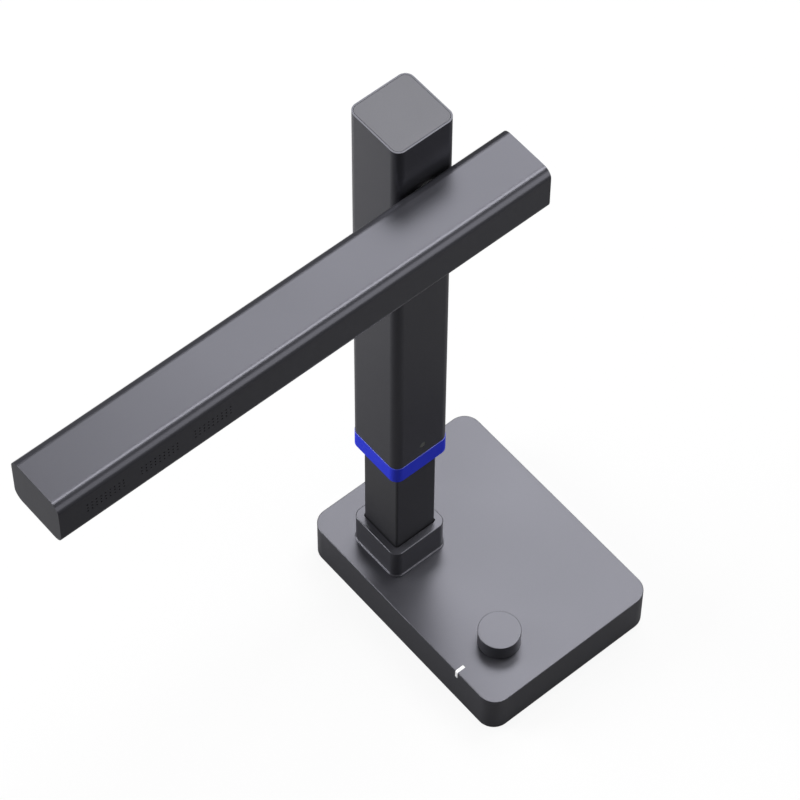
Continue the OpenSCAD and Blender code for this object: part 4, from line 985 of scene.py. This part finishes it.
def makeLens():
    low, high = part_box("lens_barrel")
    glassLow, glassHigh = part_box("lens_glass")
    x, y = (low.x + high.x) / 2, (low.y + high.y) / 2
    r, long, g = (high.x - low.x) / 2, high.z - low.z, lensLook["groove"]
    glassR, deep = (glassHigh.x - glassLow.x) / 2, glassHigh.z - low.z
    profile = [(r * 0.97, -long), (r, -long + g)]
    for k in range(6):
        z = -long * 0.46 + k * 4 * g
        profile += [(r, z), (r - g, z + g * 0.6), (r - g, z + 1.8 * g), (r, z + 2.4 * g)]
    profile += [(r, -1.5 * g), (r - 1.2 * g, 0), (glassR + 2.6 * g, 0), (glassR + 2.0 * g, -1.2 * g),
                (glassR + 1.2 * g, -1.2 * g), (glassR + g * 0.6, -2.4 * g), (glassR + g * 0.3, -deep - g),
                (glassR * 0.82, -deep - g), (glassR * 0.78, -deep - 4 * g), (glassR * 0.6, -deep - 4 * g),
                (glassR * 0.55, -deep - 9 * g), (glassR * 0.4, -deep - 9 * g)]
    model = turned("lensBarrelModel", profile, lensLook["sides"])
    smoothed(model, 0.5)
    barrel = movedTo(model, (x, y, low.z), (0, 0, -1), "lensBarrelDetailed")
    finishPiece(barrel, "head_bar", "black_plastic", "lens_barrel")

    thick = glassHigh.z - glassLow.z
    profile = [(glassR * 0.98, -thick), (glassR, -thick * 0.9), (glassR, -thick * 0.42)]
    for k in range(1, 12):
        share = k / 12
        profile.append((glassR * math.cos(share * 1.5), -thick * 0.42 * (1 - math.sin(share * 1.5707))))
    model = turned("lensGlassModel", profile, lensLook["sides"])
    smoothed(model, 0.9)
    lens = movedTo(model, (x, y, glassLow.z), (0, 0, -1), "lensGlassDetailed")
    finishPiece(lens, "head_bar", "lens_glass", "lens_glass")


makeLens()
print("lens made")


# lamp: frosted cover with fine ribs along it, and chips in ceramic frames
lampLook = {"ribs": 16, "ribDeep": 0.22 * mm, "ribSide": 1.2 * mm, "end": 3 * mm, "thick": 0.35 * mm}


def makeDiffuser():
    # a ribbed lens strip lies on the cover's outer face
    low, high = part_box("led_diffuser")
    shell = softCopy("led_diffuser", "diffuserBody", 0)
    w = (high.y - low.y) - 2 * lampLook["ribSide"]
    step = w / lampLook["ribs"]
    deselectAll()
    bpy.ops.mesh.primitive_grid_add(x_subdivisions=1, y_subdivisions=2 * lampLook["ribs"], size=1, location=(
        *middleOf(low, high).xy, low.z + lampLook["ribDeep"]))
    strip = added("diffuserRibs")
    strip.scale = (high.x - low.x - 2 * lampLook["end"] - 2 * lampLook["ribSide"], w, 1)
    settle(strip)
    openEdit(strip, "VERT")
    shape = bmesh.from_edit_mesh(strip.data)
    y0 = low.y + lampLook["ribSide"]
    for v in shape.verts:
        v.select_set(round((v.co.y - y0) / (step / 2)) % 2 == 1)
    bmesh.update_edit_mesh(strip.data)
    raiseBy(-lampLook["ribDeep"])
    bpy.ops.mesh.select_mode(type="FACE")
    pickAll()
    extrudeBy(lampLook["thick"])
    closeEdit()
    outwards(strip)
    paintIn(strip, "lampFrost")
    whole = joined([shell, strip], "diffuserDetailed")
    finishPiece(whole, "head_bar", "lamp_frost", "led_diffuser")


def makeLampChips():
    chips, model = [], None
    for points in islands("leds"):
        a, b = extent(points)
        if model is None:
            wide, deep, tall = (b.x - a.x) / 2, (b.y - a.y) / 2, b.z - a.z
            model = blockOf("lampChipModel", (-deep, -wide, 0), (deep, wide, tall), deep * 0.06, 1)
            openEdit(model)
            pickFaces(model, lambda c, n: n.z > 0.9)
            insetBy(deep * 0.24)
            extrudeBy(-tall * 0.28)
            growBy(0.9)
            closeEdit()
            paintIn(model, "chipCeramic", "phosphor")
            paintSecond(model, lambda c, n: n.z > 0.9 and c.z < tall * 0.75
                        and abs(c.x) < deep * 0.5 and abs(c.y) < wide * 0.5)
        middle = (a + b) / 2
        chips.append(placedCopy(model, (middle.x, middle.y, b.z), (0, 0, -1)))
    discard(model)
    finishPiece(joined(chips, "lampChipsDetailed"), "head_bar", "lamp_chip", "leds")


makeDiffuser()
makeLampChips()
print("lamp made")


# speakers: oval baskets with a rolled surround, a cone and a dust cap, facing the holes
speakers = ("speaker_1", "speaker_2", "speaker_3")
speakerLook = {"round": 6.1 * mm, "rim": 0.8 * mm, "side": 1.0 * mm, "sunk": 0.5 * mm}
# rings from the surround over the cone to the dust cap: width and rise in mm
speakerRings = ((0.4025, 0.35), (0.345, 0.15), (0.345, -0.15), (0.4025, -0.35), (1.7, -1.1),
                (0.2, 0.3), (0.35, 0.22), (0.4, 0.1))


def makeSpeakers():
    low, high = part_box("speaker_1")
    w, h, deep = high.x - low.x, high.z - low.z, high.y - low.y
    body = blockOf("speakerModel", (-w / 2, -h / 2, 0), (w / 2, h / 2, deep), 0, 2, speakerLook["round"], 9)
    openEdit(body)
    pickFaces(body, lambda c, n: n.z > 0.9)
    insetBy(speakerLook["rim"])
    extrudeBy(-speakerLook["sunk"])
    for width, rise in speakerRings:
        insetBy(width * mm)
        raiseBy(rise * mm)
    closeEdit()
    smoothed(body, 0.9)
    paintIn(body, "blackPlastic", "conePaper")
    side = speakerLook["side"]
    paintSecond(body, lambda c, n: c.z > deep * 0.4 and abs(c.x) < w / 2 - side and abs(c.y) < h / 2 - side)
    for name in speakers:
        low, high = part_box(name)
        spot = middleOf(low, high)
        copy = placedCopy(body, (spot.x, high.y, spot.z), (0, -1, 0), name.replace("_", "") + "Detailed")
        finishPiece(copy, "head_bar", "black_plastic", name)
    discard(body)


makeSpeakers()
print("speakers made")


# grille: thin black liners down the holes' walls, painted shade for the dark inside the holes, so that the
# rows read dark
grilleLook = {"columns": 9, "rows": 3, "pitchX": 2.8 * mm, "pitchZ": 2.7 * mm, "r": 0.485 * mm,
              "wall": 0.05 * mm, "start": 0.05 * mm, "long": 1.85 * mm, "sides": 12}


def makeGrilleShade():
    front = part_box("bar_housing")[0].y
    deselectAll()
    bpy.ops.mesh.primitive_cylinder_add(vertices=grilleLook["sides"], radius=grilleLook["r"],
                                        depth=grilleLook["long"], end_fill_type="NOTHING",
                                        location=(0, 0, grilleLook["start"] + grilleLook["long"] / 2))
    model = added("linerModel")
    settle(model)
    applyModifier(model, "SOLIDIFY", thickness=grilleLook["wall"], offset=-1)
    outwards(model)
    smoothed(model, 0.8)
    # each hole gets a black lining: painted shade
    shadeLiners = []
    columns, rows = grilleLook["columns"], grilleLook["rows"]
    for name in speakers:
        middle = middleOf(*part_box(name))
        for i in range(columns):
            for j in range(rows):
                spot = (middle.x + (i - (columns - 1) / 2) * grilleLook["pitchX"], front,
                        middle.z + (j - (rows - 1) / 2) * grilleLook["pitchZ"])
                shadeLiners.append(placedCopy(model, spot, (0, 1, 0)))
    discard(model)
    finishPiece(joined(shadeLiners, "grilleLiners"), "head_bar", "black_plastic")


makeGrilleShade()
print("grille made")


# board parts: small components soldered to the tops of the boards, with places in mm

def makeChip(size, tall, pins):
    # package with gull-wing leads on two sides
    half = size / 2
    package = blockOf("chipPackage", (-half, -half, 0.1 * mm), (half, half, tall), 0.12 * mm)
    paintIn(package, "chipBlack")
    parts = [package]
    lead = blockOf("chipLead", (-0.15 * mm, 0, 0), (0.15 * mm, 0.9 * mm, 0.12 * mm), 0.03 * mm, 1)
    paintIn(lead, "tinPlate")
    for k in range(pins):
        x = size * ((k + 0.5) / pins - 0.5)
        for y in (half - 0.2 * mm, -half - 0.7 * mm):
            parts.append(placedCopy(lead, (x, y, 0)))
    discard(lead)
    return joined(parts, "chipModel")


def makeCapacitor(radius, tall):
    can = turned("capacitorModel", [
        (radius * 0.96, 0), (radius, tall * 0.05), (radius, tall * 0.16), (radius * 0.93, tall * 0.2),
        (radius, tall * 0.25), (radius, tall * 0.92), (radius * 0.95, tall * 0.985), (radius * 0.86, tall),
        (radius * 0.8, tall * 0.985), (radius * 0.2, tall * 0.985)], 24)
    smoothed(can, 0.6)
    paintIn(can, "tinPlate")
    return can


def makeResistor():
    body = blockOf("resistorBody", (-0.5 * mm, -0.4 * mm, 0), (0.5 * mm, 0.4 * mm, 0.4 * mm), 0.05 * mm, 1)
    paintIn(body, "chipBlack")
    parts = [body]
    for side in (-1, 1):
        end = blockOf("resistorEnd", (side * 0.65 * mm - 0.2 * mm, -0.4 * mm, 0),
                      (side * 0.65 * mm + 0.2 * mm, 0.4 * mm, 0.42 * mm), 0.05 * mm, 1)
        paintIn(end, "tinPlate")
        parts.append(end)
    return joined(parts, "resistorModel")


def makeSocket(w, d, h):
    socket = blockOf("socketModel", (-w / 2, -d / 2, 0), (w / 2, d / 2, h), 0.15 * mm)
    openEdit(socket)
    pickFaces(socket, lambda c, n: n.y < -0.9)
    insetBy(min(w, h) * 0.14)
    extrudeBy(0, d * 0.6)
    closeEdit()
    paintIn(socket, "whitePlastic")
    return socket


mainParts = [("chip", 10, 33), ("bigChip", 36, 25), ("chip", 12, 42), ("socket", 17, 2.2)]
mainParts += [("can", 31 + 5.2 * k, 36) for k in range(3)] + [("tallCan", 34 + 7 * k, 14) for k in range(2)]
mainParts += [("resistor", 10 + 2.6 * i, 15.5 + 1.6 * j) for i in range(6) for j in range(5)]
mainParts += [("resistor", 30 + 2.1 * i, 41.5) for i in range(7)]
knobParts = [("resistor", 10 + 2.4 * i, 4.5 + 1.6 * j) for i in range(5) for j in range(2)]
cameraParts = [("chip", 12, 0), ("resistor", 27, 3)]
cameraParts += [("resistor", 19 + 2.3 * i, side * 6) for i in range(4) for side in (-1, 1)]
lampRow = {"count": 14, "fromEdge": 3.2 * mm, "first": 0.8, "spaces": 14.6}
boardTop = 1.6 * mm     # the main board's own thickness


def makeBoardParts():
    models = {"chip": makeChip(5 * mm, 1.1 * mm, 8), "bigChip": makeChip(7 * mm, 1.3 * mm, 11),
              "can": makeCapacitor(2.1 * mm, 4.2 * mm), "tallCan": makeCapacitor(2.9 * mm, 5.6 * mm),
              "resistor": makeResistor(), "socket": makeSocket(10 * mm, 3 * mm, 2.3 * mm)}

    def placed(layout, x0, y0, top):
        return [placedCopy(models[kind], (x0 + x * mm, y0 + y * mm, top)) for kind, x, y in layout]

    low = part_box("main_board")[0]
    parts = placed(mainParts, low.x, low.y, low.z + boardTop)
    finishPiece(joined(parts, "mainBoardParts"), "base", "board_green")

    low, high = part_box("knob_board")
    parts = placed([("chip", 14, 4)], low.x, (low.y + high.y) / 2, high.z)
    parts += placed(knobParts, low.x, low.y, high.z)
    finishPiece(joined(parts, "knobBoardParts"), "base", "board_green")

    low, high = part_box("camera_board")
    parts = placed(cameraParts, low.x, (low.y + high.y) / 2, high.z)
    finishPiece(joined(parts, "cameraBoardParts"), "head_bar", "board_green")

    low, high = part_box("led_board")
    parts = []
    for i in range(lampRow["count"]):
        x = low.x + (high.x - low.x) * (i + lampRow["first"]) / lampRow["spaces"]
        for y in (low.y + lampRow["fromEdge"], high.y - lampRow["fromEdge"]):
            parts.append(placedCopy(models["resistor"], (x, y, low.z), (0, 0, -1)))
    finishPiece(joined(parts, "lampBoardParts"), "head_bar", "board_white")
    discard(*models.values())


makeBoardParts()
print("board parts made")


# parts whose edges are broken by a workshop or moulded round: node, body, width in mm
brokenEdges = (("collar", "base", 0.4), ("slide_stop", "base", 0.7), ("friction_pads", "mast_sleeve", 0.3),
               ("counterweight", "base", 0.8), ("hinge_spacer", "head_bar", 0.2),
               ("lock_nut", "head_bar", 0.3), ("encoder_nut", "base", 0.2))
for node, body, width in brokenEdges:
    finishPiece(softCopy(node, node + "Rounded", width * mm), body, nodeSlot[node], node)
print("edges broken on", len(brokenEdges), "parts")


ringLook = {"rim": 1.5 * mm, "facesUp": 0.15}


def makeRing():
    # the ring's upper rim is polished, and its upward faces are painted a lighter blue as a painted
    # highlight: its rounding shows as a thin light line
    low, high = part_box("sleeve")
    ring = softCopy("sleeve_ring", "sleeveRingDetailed", 0)
    paintIn(ring, "bluePlastic", "blueEdge")
    middle = middleOf(low, high)
    half = (high.x - low.x) / 2 - ringLook["rim"]
    paintSecond(ring, lambda c, n: n.z > ringLook["facesUp"]
                and max(abs(c.x - middle.x), abs(c.y - middle.y)) > half)
    finishPiece(ring, "mast_sleeve", "blue_plastic", "sleeve_ring")


makeRing()
print("ring made")
